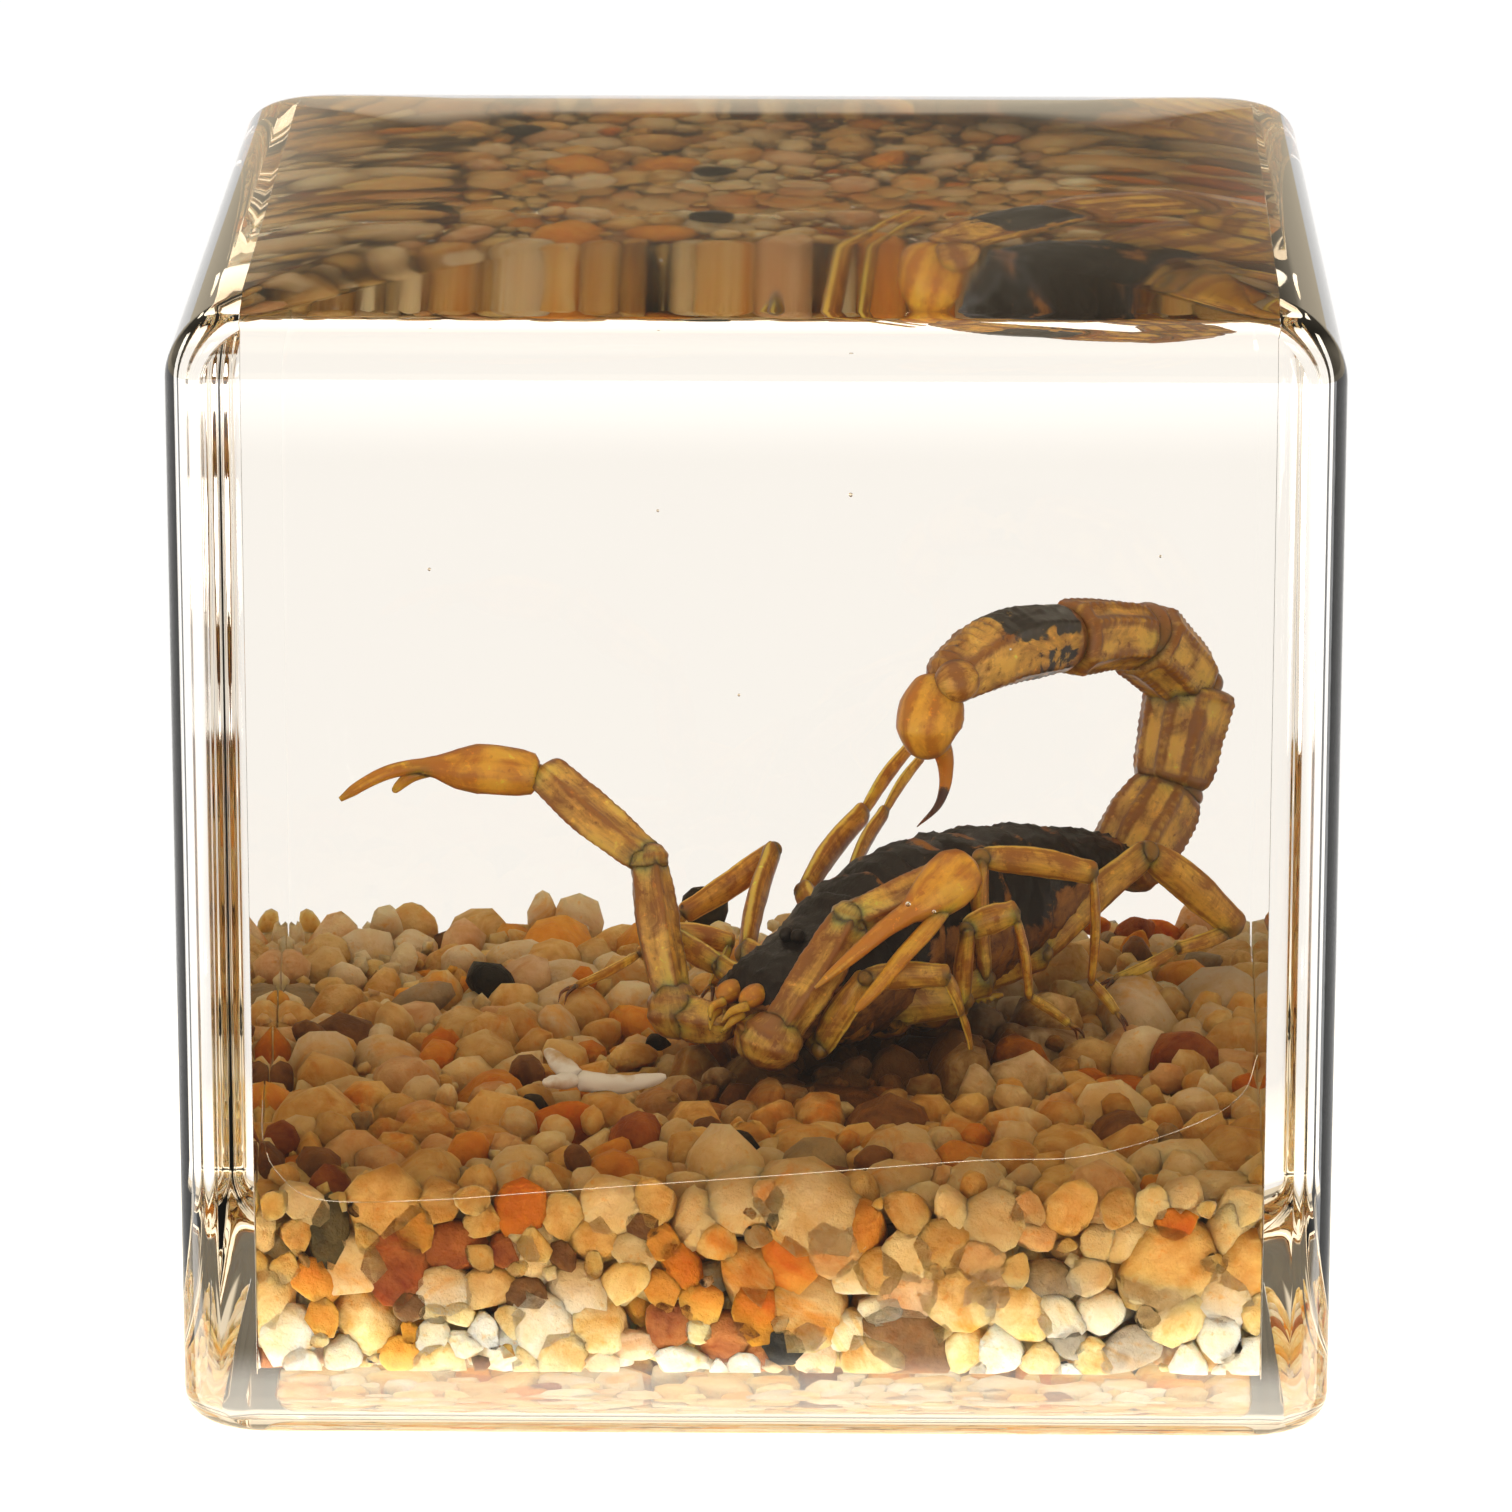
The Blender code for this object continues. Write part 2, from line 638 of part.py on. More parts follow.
def main():
    clear_scene()
    resin = material("clear_resin", (0.97, 0.96, 0.93), 0.02, transmission=1.0, ior=1.56)
    stones = material("river_gravel", (0.62, 0.47, 0.31), 0.6)
    shell = material("white_shell", (0.8, 0.74, 0.66), 0.5)
    chitin = material("amber_chitin", (0.35, 0.17, 0.04), 0.35)

    animal = scorpion(helper_collection("scorpion_limbs"))
    animal.data.materials.append(chitin)
    bed = gravel_bed()
    bed.data.materials.append(stones)
    fragment = shell_fragment(helper_collection("shell_branches"))
    fragment.data.materials.append(shell)

    pockets = helper_collection("pockets")
    scorpion_pocket(pockets)
    shell_branches(pockets, GAP)
    for half in resin_halves(pockets):
        half.data.materials.append(resin)
        shade_smooth(half)


main()
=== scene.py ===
"""A small scorpion on river gravel, cast in a clear resin block.

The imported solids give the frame. Lengths here are in millimetres, turned to metres as a mesh is made.
Materials work in metres. The front of the block faces -Y and +Z is up.
"""

import json
import math
import random

import bmesh
import bpy
import numpy as np
from mathutils import Matrix, Vector, kdtree, noise

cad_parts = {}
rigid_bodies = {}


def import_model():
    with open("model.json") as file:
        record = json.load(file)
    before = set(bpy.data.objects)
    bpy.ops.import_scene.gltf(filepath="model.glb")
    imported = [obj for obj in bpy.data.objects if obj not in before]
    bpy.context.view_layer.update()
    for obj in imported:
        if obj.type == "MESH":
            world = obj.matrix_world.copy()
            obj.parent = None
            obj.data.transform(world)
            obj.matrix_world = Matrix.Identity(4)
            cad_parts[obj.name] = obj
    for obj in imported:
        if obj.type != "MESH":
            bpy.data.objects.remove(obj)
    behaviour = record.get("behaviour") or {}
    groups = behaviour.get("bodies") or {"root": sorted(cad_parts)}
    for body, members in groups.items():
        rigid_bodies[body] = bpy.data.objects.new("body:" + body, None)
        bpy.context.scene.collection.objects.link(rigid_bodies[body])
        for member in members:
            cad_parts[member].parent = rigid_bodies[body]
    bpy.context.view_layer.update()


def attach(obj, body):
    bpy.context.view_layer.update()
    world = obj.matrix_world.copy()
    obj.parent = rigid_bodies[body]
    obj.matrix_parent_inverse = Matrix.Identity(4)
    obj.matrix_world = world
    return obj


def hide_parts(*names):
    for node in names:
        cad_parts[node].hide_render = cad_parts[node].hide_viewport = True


for leftover in list(bpy.data.objects):
    bpy.data.objects.remove(leftover, do_unlink=True)
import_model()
MM = 0.001

# ------------------------------------------------------------------------------- clear resin block
# The outer casting: a clear polyester cube with a rolled foot, softly rounded upright edges, and a
# top that was flattened in the middle on a polishing wheel and falls away towards a rounded rim.

WIDTH, DEPTH, HEIGHT = 44.0, 44.0, 45.0
CORNER = 1.5
FOOT = 2.0
RIM = 2.3
CROWN_REACH = 10.0
CROWN_SLOPE = math.radians(12.0)
HOLD = 0.06  # a close second line of points that keeps each flat face flat up to its rounding
CAST_WALLS = ((-19.2, -19.45), (19.42, 19.85))  # side walls of the inner casting: x in front, x behind
CAST_HALF = 19.4
CAST_FLOOR, CAST_TOP = 2.35, 43.2
CAST_GAP = 0.02
# where the second pour met the wall of the mould: a fine open line, sagging across the front (x, z)
POUR_LINE = (
    (-18.8, 13.5), (-18.8, 11.9), (-18.3, 10.6), (-16.7, 9.5), (-12.5, 9.5), (-7.5, 9.9),
    (1.3, 10.6), (8.4, 11.2), (12.6, 11.4), (16.5, 12.6), (18.5, 13.9), (19.1, 15.5),
)
POUR_Y, POUR_GAP = -19.6, 0.022
# (middle, radius) of the air bubbles and dust specks caught in the upper pour
BUBBLES = (
    ((5.8, -9.0, 19.4), 0.11), ((6.8, -9.0, 19.1), 0.08), ((-12.9, 0.0, 31.2), 0.07),
    ((-3.9, -5.0, 34.4), 0.06), ((-0.8, -3.0, 26.7), 0.06), ((3.5, 4.0, 33.6), 0.09),
    ((15.6, 2.0, 31.5), 0.06), ((-8.0, 6.0, 22.4), 0.05), ((9.7, -6.0, 29.1), 0.05),
)


def block_ring(inset, z, steps=10):
    """The block's outline at one height, its corners rounded."""
    half_x, half_y = WIDTH / 2 - inset, DEPTH / 2 - inset
    radius = CORNER + 0.35 * inset
    ring = []
    for corner, (sx, sy) in enumerate(((1, 1), (-1, 1), (-1, -1), (1, -1))):
        cx, cy = sx * (half_x - radius), sy * (half_y - radius)
        arc = [math.radians(90 * corner + 90 * i / steps) for i in range(steps + 1)]
        points = [(cx + radius * math.cos(a), cy + radius * math.sin(a)) for a in arc]
        ring.append(held(points[0], arc[0], -1))
        ring.extend(points)
        ring.append(held(points[-1], arc[-1], 1))
    return [Vector((x, y, z)) for x, y in ring]


def held(point, angle, side):
    """The point a little before or after an arc, on the straight side that runs into it."""
    return (point[0] - side * HOLD * math.sin(angle), point[1] + side * HOLD * math.cos(angle))


def block_profile():
    """(inset, height) up the side: foot, wall, rim, crown."""
    line = [(FOOT + HOLD, 0.0)]
    for i in range(11):
        a = math.pi / 2 * i / 10
        line.append((FOOT * (1 - math.sin(a)), FOOT * (1 - math.cos(a))))
    line.append((0.0, FOOT + HOLD))
    rim_inset = RIM * (1 - math.sin(CROWN_SLOPE))
    crown_radius = (CROWN_REACH - rim_inset) / math.sin(CROWN_SLOPE)
    rim_z = HEIGHT - crown_radius * (1 - math.cos(CROWN_SLOPE)) - RIM * math.cos(CROWN_SLOPE)
    line.append((0.0, rim_z - HOLD))
    for i in range(15):
        a = (math.pi / 2 - CROWN_SLOPE) * i / 14
        line.append((RIM * (1 - math.cos(a)), rim_z + RIM * math.sin(a)))
    for i in range(1, 17):
        a = CROWN_SLOPE * (1 - i / 16)
        line.append((CROWN_REACH - crown_radius * math.sin(a), HEIGHT - crown_radius * (1 - math.cos(a))))
    line.append((CROWN_REACH + 0.3, HEIGHT))
    return line


def joined(bm, rings):
    """The faces between closed rings of points, each ring joined to the next."""
    faces = []
    for low, high in zip(rings, rings[1:]):
        for i in range(len(low)):
            j = (i + 1) % len(low)
            faces.append(bm.faces.new((low[i], low[j], high[j], high[i])))
    return faces


def smooth_path(points, count):
    """Evenly counted points on a Catmull-Rom curve through the given ones."""
    points = [Vector(p) for p in points]
    padded = [2 * points[0] - points[1]] + points + [2 * points[-1] - points[-2]]
    out = []
    for k in range(count):
        f = k / (count - 1) * (len(points) - 1)
        i = min(int(f), len(points) - 2)
        u = f - i
        a, b, c, d = padded[i : i + 4]
        out.append(
            0.5 * (2 * b + (c - a) * u + (2 * a - 5 * b + 4 * c - d) * u * u + (3 * b - a - 3 * c + d) * u**3)
        )
    return out


def finished(name, bm, material, hollows=()):
    """A mesh object from a bmesh in millimetres, faces outwards; the faces of hollows look into them."""
    bmesh.ops.recalc_face_normals(bm, faces=bm.faces)
    bmesh.ops.reverse_faces(bm, faces=list(hollows))
    for face in bm.faces:
        face.smooth = face not in hollows
    bmesh.ops.scale(bm, vec=(MM, MM, MM), verts=bm.verts)
    mesh = bpy.data.meshes.new(name)
    bm.to_mesh(mesh)
    bm.free()
    mesh.materials.append(material)
    obj = bpy.data.objects.new(name, mesh)
    bpy.context.scene.collection.objects.link(obj)
    return obj


def put(socket, value):
    """Give a node's input a value, or link another node's output to it."""
    if isinstance(value, bpy.types.NodeSocket):
        socket.id_data.links.new(value, socket)
    else:
        socket.default_value = value


def fill(made, *values, **settings):
    """Fill a node's first inputs in order, then its properties and inputs by name, with _ for a space."""
    for at, value in enumerate(values):
        put(made.inputs[at], value)
    for key, value in settings.items():
        if key.replace("_", " ") in made.inputs:
            put(made.inputs[key.replace("_", " ")], value)
        else:
            setattr(made, key, value)
    return made


def node(tree, kind, *values, **settings):
    return fill(tree.nodes.new(kind), *values, **settings)


def maths(tree, operation, *values, **settings):
    return node(tree, "ShaderNodeMath", *values, operation=operation, **settings).outputs[0]


def clouds(tree, place, scale, detail, **settings):
    """The value of a noise texture."""
    return node(tree, "ShaderNodeTexNoise", place, Scale=scale, Detail=detail, **settings).outputs["Fac"]


def ranged(tree, value, start, end, low=0.0, high=1.0, smooth=False):
    """A value that goes from low to high while the given one goes from start to end."""
    kind = "SMOOTHSTEP" if smooth else "LINEAR"
    return node(tree, "ShaderNodeMapRange", value, start, end, low, high, interpolation_type=kind).outputs[0]


def axes(tree, place):
    """X, Y and Z of a place."""
    return node(tree, "ShaderNodeSeparateXYZ", place).outputs


def new_material(name):
    """(material, node tree, Principled shader, place on the object)"""
    material = bpy.data.materials.new(name)
    material.use_nodes = True
    tree = material.node_tree
    return material, tree, tree.nodes["Principled BSDF"], node(tree, "ShaderNodeTexCoord").outputs["Object"]


resin, tree, shader, place = new_material("cast_resin")
smear = ranged(tree, clouds(tree, place, 260.0, 3.0), 0.45, 0.8, 0.0, 0.02)
polish = ranged(tree, axes(tree, place)["Z"], 0.0440, 0.0446, 0.0, 0.05)  # a faint bloom from the wheel
fill(shader, Base_Color=(0.995, 0.99, 0.98, 1), Roughness=maths(tree, "ADD", smear, polish))
fill(shader, Transmission_Weight=1.0, IOR=1.56)
absorb = node(tree, "ShaderNodeVolumeAbsorption", (0.865, 0.55, 0.04, 1), 2.0)
put(tree.nodes["Material Output"].inputs["Volume"], absorb.outputs["Volume"])

bm = bmesh.new()
rings = [[bm.verts.new(p) for p in block_ring(inset, z)] for inset, z in block_profile()]
joined(bm, rings)
bm.faces.new(rings[0][::-1])
bm.faces.new(rings[-1])
hollows = []
for front_x, back_x in CAST_WALLS:  # the inner casting has come away from the outer one at its sides
    slit = math.copysign(CAST_GAP, front_x)
    corners = []
    for z in (CAST_FLOOR, CAST_TOP):
        for x, y in ((front_x, -CAST_HALF), (back_x, CAST_HALF)):
            corners.append((bm.verts.new((x, y, z)), bm.verts.new((x + slit, y, z))))
    a, b, c, d = corners
    for one, two in ((a, b), (b, d), (d, c), (c, a)):
        hollows.append(bm.faces.new((one[0], two[0], two[1], one[1])))
    for k in (0, 1):
        hollows.append(bm.faces.new((a[k], b[k], d[k], c[k])))
turns = [math.pi / 3 * i for i in range(6)]
line, gap = smooth_path([(x, POUR_Y, z) for x, z in POUR_LINE], 90), []
for k, point in enumerate(line):
    ahead = (line[min(k + 1, len(line) - 1)] - line[max(k - 1, 0)]).normalized()
    across = Vector((-ahead.z, 0, ahead.x))
    sides = [math.cos(t) * across + Vector((0, math.sin(t), 0)) for t in turns]
    gap.append([bm.verts.new(point + POUR_GAP * side) for side in sides])
hollows += [*joined(bm, gap), bm.faces.new(gap[0]), bm.faces.new(gap[-1])]
for middle, radius in BUBBLES:
    ball = bmesh.ops.create_icosphere(bm, subdivisions=2, radius=radius, matrix=Matrix.Translation(middle))
    hollows.extend({face for vert in ball["verts"] for face in vert.link_faces})
clear_block = finished("clear_block", bm, resin, set(hollows))
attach(clear_block, "root")
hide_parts("resin_base", "resin_cover")

# ------------------------------------------------------------------------------- river gravel
# A bed of washed quartz gravel, 1 to 4 mm, poured in first and set in resin: mostly cream, white and
# pale pink, with some ochre, amber, brown and black stones. Its surface climbs towards the back.

BED_HALF = 19.9
BED_FLOOR = 2.5
BED_FRONT = 9.7
BED_SLOPE = 0.094
# each kind of stone: its share of the bed, and the two colours that its clouds run between
KINDS = {
    "cream": (0.40, (0.74, 0.44, 0.12), (1.0, 0.84, 0.50)),
    "white": (0.36, (0.88, 0.72, 0.46), (1.0, 0.98, 0.90)),
    "pink": (0.10, (0.76, 0.46, 0.24), (1.0, 0.82, 0.62)),
    "ochre": (0.055, (0.80, 0.34, 0.04), (0.98, 0.54, 0.12)),
    "amber": (0.02, (0.62, 0.21, 0.012), (0.80, 0.33, 0.03)),
    "brown": (0.03, (0.16, 0.08, 0.035), (0.34, 0.19, 0.08)),
    "rust": (0.012, (0.22, 0.05, 0.015), (0.50, 0.20, 0.06)),
    "black": (0.004, (0.012, 0.012, 0.012), (0.05, 0.045, 0.035)),
    "grey": (0.018, (0.30, 0.27, 0.22), (0.52, 0.46, 0.36)),
    "olive": (0.001, (0.055, 0.055, 0.035), (0.15, 0.14, 0.08)),
}
NAMES = tuple(KINDS)
SHARES = [share for share, _, _ in KINDS.values()]
# stones that stand out in the photo: kind, middle, half sizes across and up
MARKED = (
    ("black", (-10.9, 8.9, 12.6), (1.0, 0.7)), ("black", (-8.7, -8.1, 10.9), (0.65, 0.55)),
    ("black", (-0.5, -12.8, 10.4), (0.75, 0.55)), ("black", (-4, 0.5, 11.8), (0.55, 0.4)),
    ("black", (-2.4, 17.9, 14), (0.95, 1.0)), ("olive", (-16.3, -19.1, 8.2), (0.65, 1.35)),
    ("brown", (-17.8, 1.7, 11.8), (0.9, 0.85)), ("rust", (-18.5, -12.7, 10.4), (0.6, 0.65)),
    ("brown", (-6.7, -15.8, 10.1), (0.6, 1.05)), ("rust", (-11.6, -18.8, 7.5), (1.3, 0.95)),
    ("rust", (-9.6, -19.2, 7.4), (0.6, 0.6)), ("brown", (-8.8, -19.1, 5.6), (0.7, 0.8)),
    ("white", (-6.8, -18.8, 5.8), (1.15, 1.05)), ("amber", (-2.8, -18.9, 6.9), (1.0, 1.2)),
    ("rust", (-1.1, -18.8, 3.9), (1.2, 0.9)), ("black", (1.1, -19.1, 3.7), (0.7, 0.75)),
    ("cream", (-14.8, -18.4, 4.5), (1.75, 1.5)), ("white", (-11.4, -19.1, 3.6), (0.9, 0.65)),
    ("white", (14.7, -18.8, 7.9), (1.55, 0.9)), ("grey", (12.2, -18.9, 3.8), (1.2, 0.8)),
    ("brown", (4.4, -15.6, 10.2), (0.9, 0.8)), ("amber", (10.1, -1.3, 11.4), (1.35, 1.1)),
    ("rust", (17, -0.9, 11.4), (1.25, 1.1)), ("white", (9.8, -10.2, 10.6), (1.55, 1.0)),
    ("brown", (-4.3, -19.3, 8.5), (0.6, 0.5)), ("ochre", (4.3, -18.7, 8.2), (1.15, 1.4)),
    ("cream", (-6, -18.6, 8), (1.35, 1.0)), ("white", (3.6, -18.8, 4), (1.2, 1.0)),
    ("pink", (9, -18.9, 5.8), (1.0, 0.95)), ("pink", (-4.5, -19, 3.5), (1.35, 0.7)),
    ("white", (18.1, -18.8, 8.3), (0.95, 1.6)), ("ochre", (1.3, -18.9, 7.2), (0.95, 1.4)),
    ("white", (17.2, -8.1, 10.8), (1.2, 1.15)), ("grey", (-13.7, 6.7, 12.2), (1.2, 0.7)),
    ("pink", (10.6, -18.9, 8.1), (1.1, 1.0)), ("cream", (-1.4, -18.8, 7.7), (1.0, 1.1)),
    ("grey", (11.3, -19, 6.3), (1.15, 0.75)), ("white", (17.9, -19, 5.7), (1.0, 1.3)),
    ("ochre", (-16.9, -19, 6.1), (1.1, 1.0)), ("white", (-18, -19, 4), (1.0, 1.2)),
)
STONE_SEED = 11
STONE_RADIUS, STONE_SPREAD = 0.74, 0.36
STONE_LEAST, STONE_MOST = 0.38, 1.6
BALL = 4.19  # the volume of a ball of radius 1
PACKED = 0.74  # the stones' share of the bed
SETTLINGS = 70
SEARCH = 1.9  # how far past its own radius a stone looks for others
PUSH = 0.42  # the share of an overlap that each of two stones gives way
GRIT_TRIES = 60000
GRIT_LEAST, GRIT_MOST = 0.27, 0.5
GRIT_DEPTH = (0.2, 1.6)  # how deep under a face of the bed it lies
OUTER_DEPTH = 3.2  # stones nearer than this to a face of the bed are seen, and made finer
SHAPE_COUNT = 12


def bed_height(y):
    return BED_FRONT + BED_SLOPE * (y + BED_HALF)


def neighbours(middles):
    """A search tree over the stones' middles."""
    tree = kdtree.KDTree(len(middles))
    for i, middle in enumerate(middles):
        tree.insert(middle, i)
    tree.balance()
    return tree


def poured_stones():
    """Stones settled against each other and the mould: (middles, radii, count of marked ones)."""
    rng = np.random.default_rng(STONE_SEED)
    fixed = np.array([m for _, m, _ in MARKED])
    fixed_radii = np.array([math.sqrt(a * b) for _, _, (a, b) in MARKED])
    volume = 4 * BED_HALF**2 * (bed_height(0) - BED_FLOOR)
    radii = []
    filled = float((BALL * fixed_radii**3).sum())
    while filled < PACKED * volume:
        radius = np.exp(rng.normal(math.log(STONE_RADIUS), STONE_SPREAD))
        radii.append(float(np.clip(radius, STONE_LEAST, STONE_MOST)))
        filled += BALL * radii[-1] ** 3
    radii = np.concatenate([fixed_radii, radii])
    count, held = len(radii), len(fixed)
    middles = rng.uniform(-BED_HALF, BED_HALF, (count, 3))
    middles[:, 2] = BED_FLOOR + rng.uniform(0, 1, count) * (bed_height(middles[:, 1]) - BED_FLOOR)
    middles[:held] = fixed
    rough = rng.uniform(-0.1, 0.75, count)
    for _ in range(SETTLINGS):
        tree = neighbours(middles)
        pairs = []
        for i, middle in enumerate(middles):
            for _, j, _ in tree.find_range(middle, radii[i] + SEARCH):
                if j > i:
                    pairs.append((i, j))
        a, b = np.array(pairs).T
        apart = middles[b] - middles[a]
        distance = np.linalg.norm(apart, axis=1) + 1e-6
        overlap = np.maximum(radii[a] + radii[b] - distance, 0)
        push = apart / distance[:, None] * (PUSH * overlap)[:, None]
        np.add.at(middles, a, -push)
        np.add.at(middles, b, push)
        reach = (BED_HALF + 0.1 - 0.95 * radii)[:, None]
        middles[:, :2] = np.clip(middles[:, :2], -reach, reach)
        ceiling = bed_height(middles[:, 1]) + rough - radii
        middles[:, 2] = np.clip(middles[:, 2], BED_FLOOR - 0.4 + radii, ceiling)
        middles[:held] = fixed
    return middles, radii, held


def grit_in_gaps(middles, radii):
    """Small grains for the gaps between the stones that are seen: (middles, radii)."""
    rng = np.random.default_rng(STONE_SEED + 1)
    tree = neighbours(middles)
    kept, sizes = [], []
    for spot in rng.uniform((-BED_HALF, -BED_HALF, BED_FLOOR), (BED_HALF, BED_HALF, 14), (GRIT_TRIES, 3)):
        top = bed_height(spot[1]) + 0.1
        edge = min(BED_HALF - abs(spot[0]), BED_HALF - abs(spot[1]), top - spot[2])
        if not GRIT_DEPTH[0] < edge < GRIT_DEPTH[1]:
            continue
        room = min((d - radii[i] for _, i, d in tree.find_range(spot, 2.4)), default=0.6)
        room = min(room + 0.1, GRIT_MOST)
        if room < GRIT_LEAST or room > edge + 0.1:
            continue
        if kept and (np.linalg.norm(np.array(kept) - spot, axis=1) < np.array(sizes) + room).any():
            continue
        kept.append(spot)
        sizes.append(room)
    return kept, sizes


def worn_stone(name, seed, corners, wear):
    """A broken stone of about unit radius: a hull through a few corners, its edges worn off or rounded."""
    rng = random.Random(seed)
    bm = bmesh.new()
    placed = []
    while len(placed) < corners:
        direction = Vector((rng.gauss(0, 1), rng.gauss(0, 1), rng.gauss(0, 1))).normalized()
        if all(direction.angle(other) > 2.1 / math.sqrt(corners) for other in placed):
            placed.append(direction)
    for direction in placed:
        bm.verts.new(direction * rng.uniform(0.9, 1.3))
    bmesh.ops.convex_hull(bm, input=bm.verts)
    if wear == "edges":
        bmesh.ops.bevel(
            bm, geom=bm.edges[:], offset=0.17, segments=1, profile=0.5, affect="EDGES", clamp_overlap=True
        )
    elif wear == "round":
        bmesh.ops.subdivide_edges(bm, edges=bm.edges[:], cuts=1, use_grid_fill=True, smooth=0.75)
        every_way = {"use_axis_" + axis: True for axis in "xyz"}
        bmesh.ops.smooth_vert(bm, verts=bm.verts[:], factor=0.35, **every_way)
        for vert in bm.verts:
            vert.co *= rng.uniform(1.06, 1.14)
    mesh = bpy.data.meshes.new(name)
    bm.to_mesh(mesh)
    bm.free()
    mesh.shade_smooth()
    return bpy.data.objects.new(name, mesh)


def sockets(tree, way, **kinds):
    """Give a node group its named inputs or outputs."""
    for name, kind in kinds.items():
        tree.interface.new_socket(name, in_out=way, socket_type="NodeSocket" + kind)


def pebble_nodes():
    """Geometry Nodes: one stone shape on each point, turned and sized by the point's attributes."""
    tree = bpy.data.node_groups.new("pebble_pour", "GeometryNodeTree")
    sockets(tree, "INPUT", Geometry="Geometry", Shapes="Collection", Size="Float", Material="Material")
    sockets(tree, "OUTPUT", Geometry="Geometry")
    given = tree.nodes.new("NodeGroupInput").outputs
    shapes = node(tree, "GeometryNodeCollectionInfo", given["Shapes"], True, True)
    which, turn, span = (
        node(tree, "GeometryNodeInputNamedAttribute", data_type=kind, Name=name).outputs["Attribute"]
        for name, kind in (("shape", "INT"), ("turn", "FLOAT_VECTOR"), ("span", "FLOAT_VECTOR"))
    )
    euler = node(tree, "FunctionNodeEulerToRotation", turn)
    size = node(tree, "ShaderNodeVectorMath", span, operation="SCALE", Scale=given["Size"])
    placed = node(
        tree, "GeometryNodeInstanceOnPoints", given["Geometry"], Instance=shapes.outputs[0],
        Pick_Instance=True, Instance_Index=which, Rotation=euler.outputs[0], Scale=size.outputs[0],
    )
    real = node(tree, "GeometryNodeRealizeInstances", placed.outputs[0])
    paint = node(tree, "GeometryNodeSetMaterial", real.outputs[0], Material=given["Material"])
    node(tree, "NodeGroupOutput", paint.outputs[0])
    return tree


def baked(obj, name):
    """The evaluated object as a plain mesh, with no modifier left."""
    bpy.context.view_layer.update()
    graph = bpy.context.evaluated_depsgraph_get()
    mesh = bpy.data.meshes.new_from_object(obj.evaluated_get(graph))
    mesh.name = name
    bpy.data.objects.remove(obj)
    made = bpy.data.objects.new(name, mesh)
    bpy.context.scene.collection.objects.link(made)
    return made


def press_to_mould(mesh):
    """Stones that reach the walls or the floor of the mould lie flat against them."""
    points = np.empty(len(mesh.vertices) * 3, dtype=np.float32)
    mesh.vertices.foreach_get("co", points)
    x, y, z = points.reshape(-1, 3).T / MM
    share = (y + CAST_HALF) / (2 * CAST_HALF)
    left, right = (front + (back - front) * share for front, back in CAST_WALLS)
    x = np.clip(x, left + CAST_GAP * 2, right - CAST_GAP * 2)
    y = np.clip(y, -CAST_HALF, CAST_HALF)
    z = np.maximum(z, BED_FLOOR)
    mesh.vertices.foreach_set("co", (np.stack((x, y, z), 1) * MM).astype(np.float32).ravel())
    mesh.update()


def ramp(tree, value, stops, interpolation="LINEAR"):
    """The colour that a value picks from (position, colour) stops."""
    made = node(tree, "ShaderNodeValToRGB", value)
    made.color_ramp.interpolation = interpolation
    ends = made.color_ramp.elements
    for end, (position, colour) in zip(ends, (stops[0], stops[-1])):
        end.position, end.color = position, (*colour, 1)
    for position, colour in stops[1:-1]:
        ends.new(position).color = (*colour, 1)
    return made.outputs["Color"]


def mixed(tree, share, one, other, blend_type="MIX"):
    made = node(tree, "ShaderNodeMix", share, data_type="RGBA", blend_type=blend_type)
    for at, colour in ((6, one), (7, other)):
        put(made.inputs[at], (*colour, 1) if isinstance(colour, tuple) else colour)
    return made.outputs[2]


def mark(tree, name):
    """An attribute of the mesh, as a number."""
    return node(tree, "ShaderNodeAttribute", attribute_name=name).outputs["Fac"]


pebble, tree, shader, place = new_material("river_pebble")
tone = mark(tree, "tone")
duller, brighter = (
    ramp(
        tree, mark(tree, "kind"), [(i / len(NAMES), KINDS[name][side]) for i, name in enumerate(NAMES)],
        "CONSTANT",
    )
    for side in (1, 2)
)
shift = node(tree, "ShaderNodeCombineXYZ", maths(tree, "MULTIPLY", tone, 0.35)).outputs[0]
shifted = node(tree, "ShaderNodeVectorMath", place, shift, operation="ADD").outputs[0]  # own clouds for each
cloud = clouds(tree, shifted, 620.0, 4.0, Roughness=0.6, Distortion=0.8)
body = mixed(tree, ranged(tree, cloud, 0.32, 0.68), duller, brighter)
iron = ranged(tree, clouds(tree, place, 2600.0, 3.0), 0.62, 0.74, 0.0, 0.5)
seep = clouds(tree, place, 150.0, 5.0, Roughness=0.7, Distortion=1.2)
stain = maths(tree, "MAXIMUM", ranged(tree, seep, 0.52, 0.68, 0.0, 0.8, smooth=True), iron)
stained = mixed(tree, stain, body, (1.0, 0.60, 0.13), "MULTIPLY")
UPPER_BED_SHADE = (0.80, 0.55, 0.27)  # painted shade by height: the upper bed is painted darker amber for the dimmer light it gets, and the foot is left pale for the light below it
depth = ramp(
    tree, ranged(tree, axes(tree, place)["Z"], 0.0, 0.016),
    ((0.24, (1, 1, 1)), (0.42, UPPER_BED_SHADE), (0.70, UPPER_BED_SHADE), (0.87, (1, 0.86, 0.70))),
)
# the painted shade by height multiplies the stones' colour
height_shaded = mixed(tree, 1.0, stained, depth, "MULTIPLY")
lift = ranged(tree, tone, 0.0, 1.0, 0.82, 1.12)
shade = node(tree, "ShaderNodeHueSaturation", Value=lift, Color=height_shaded).outputs[0]
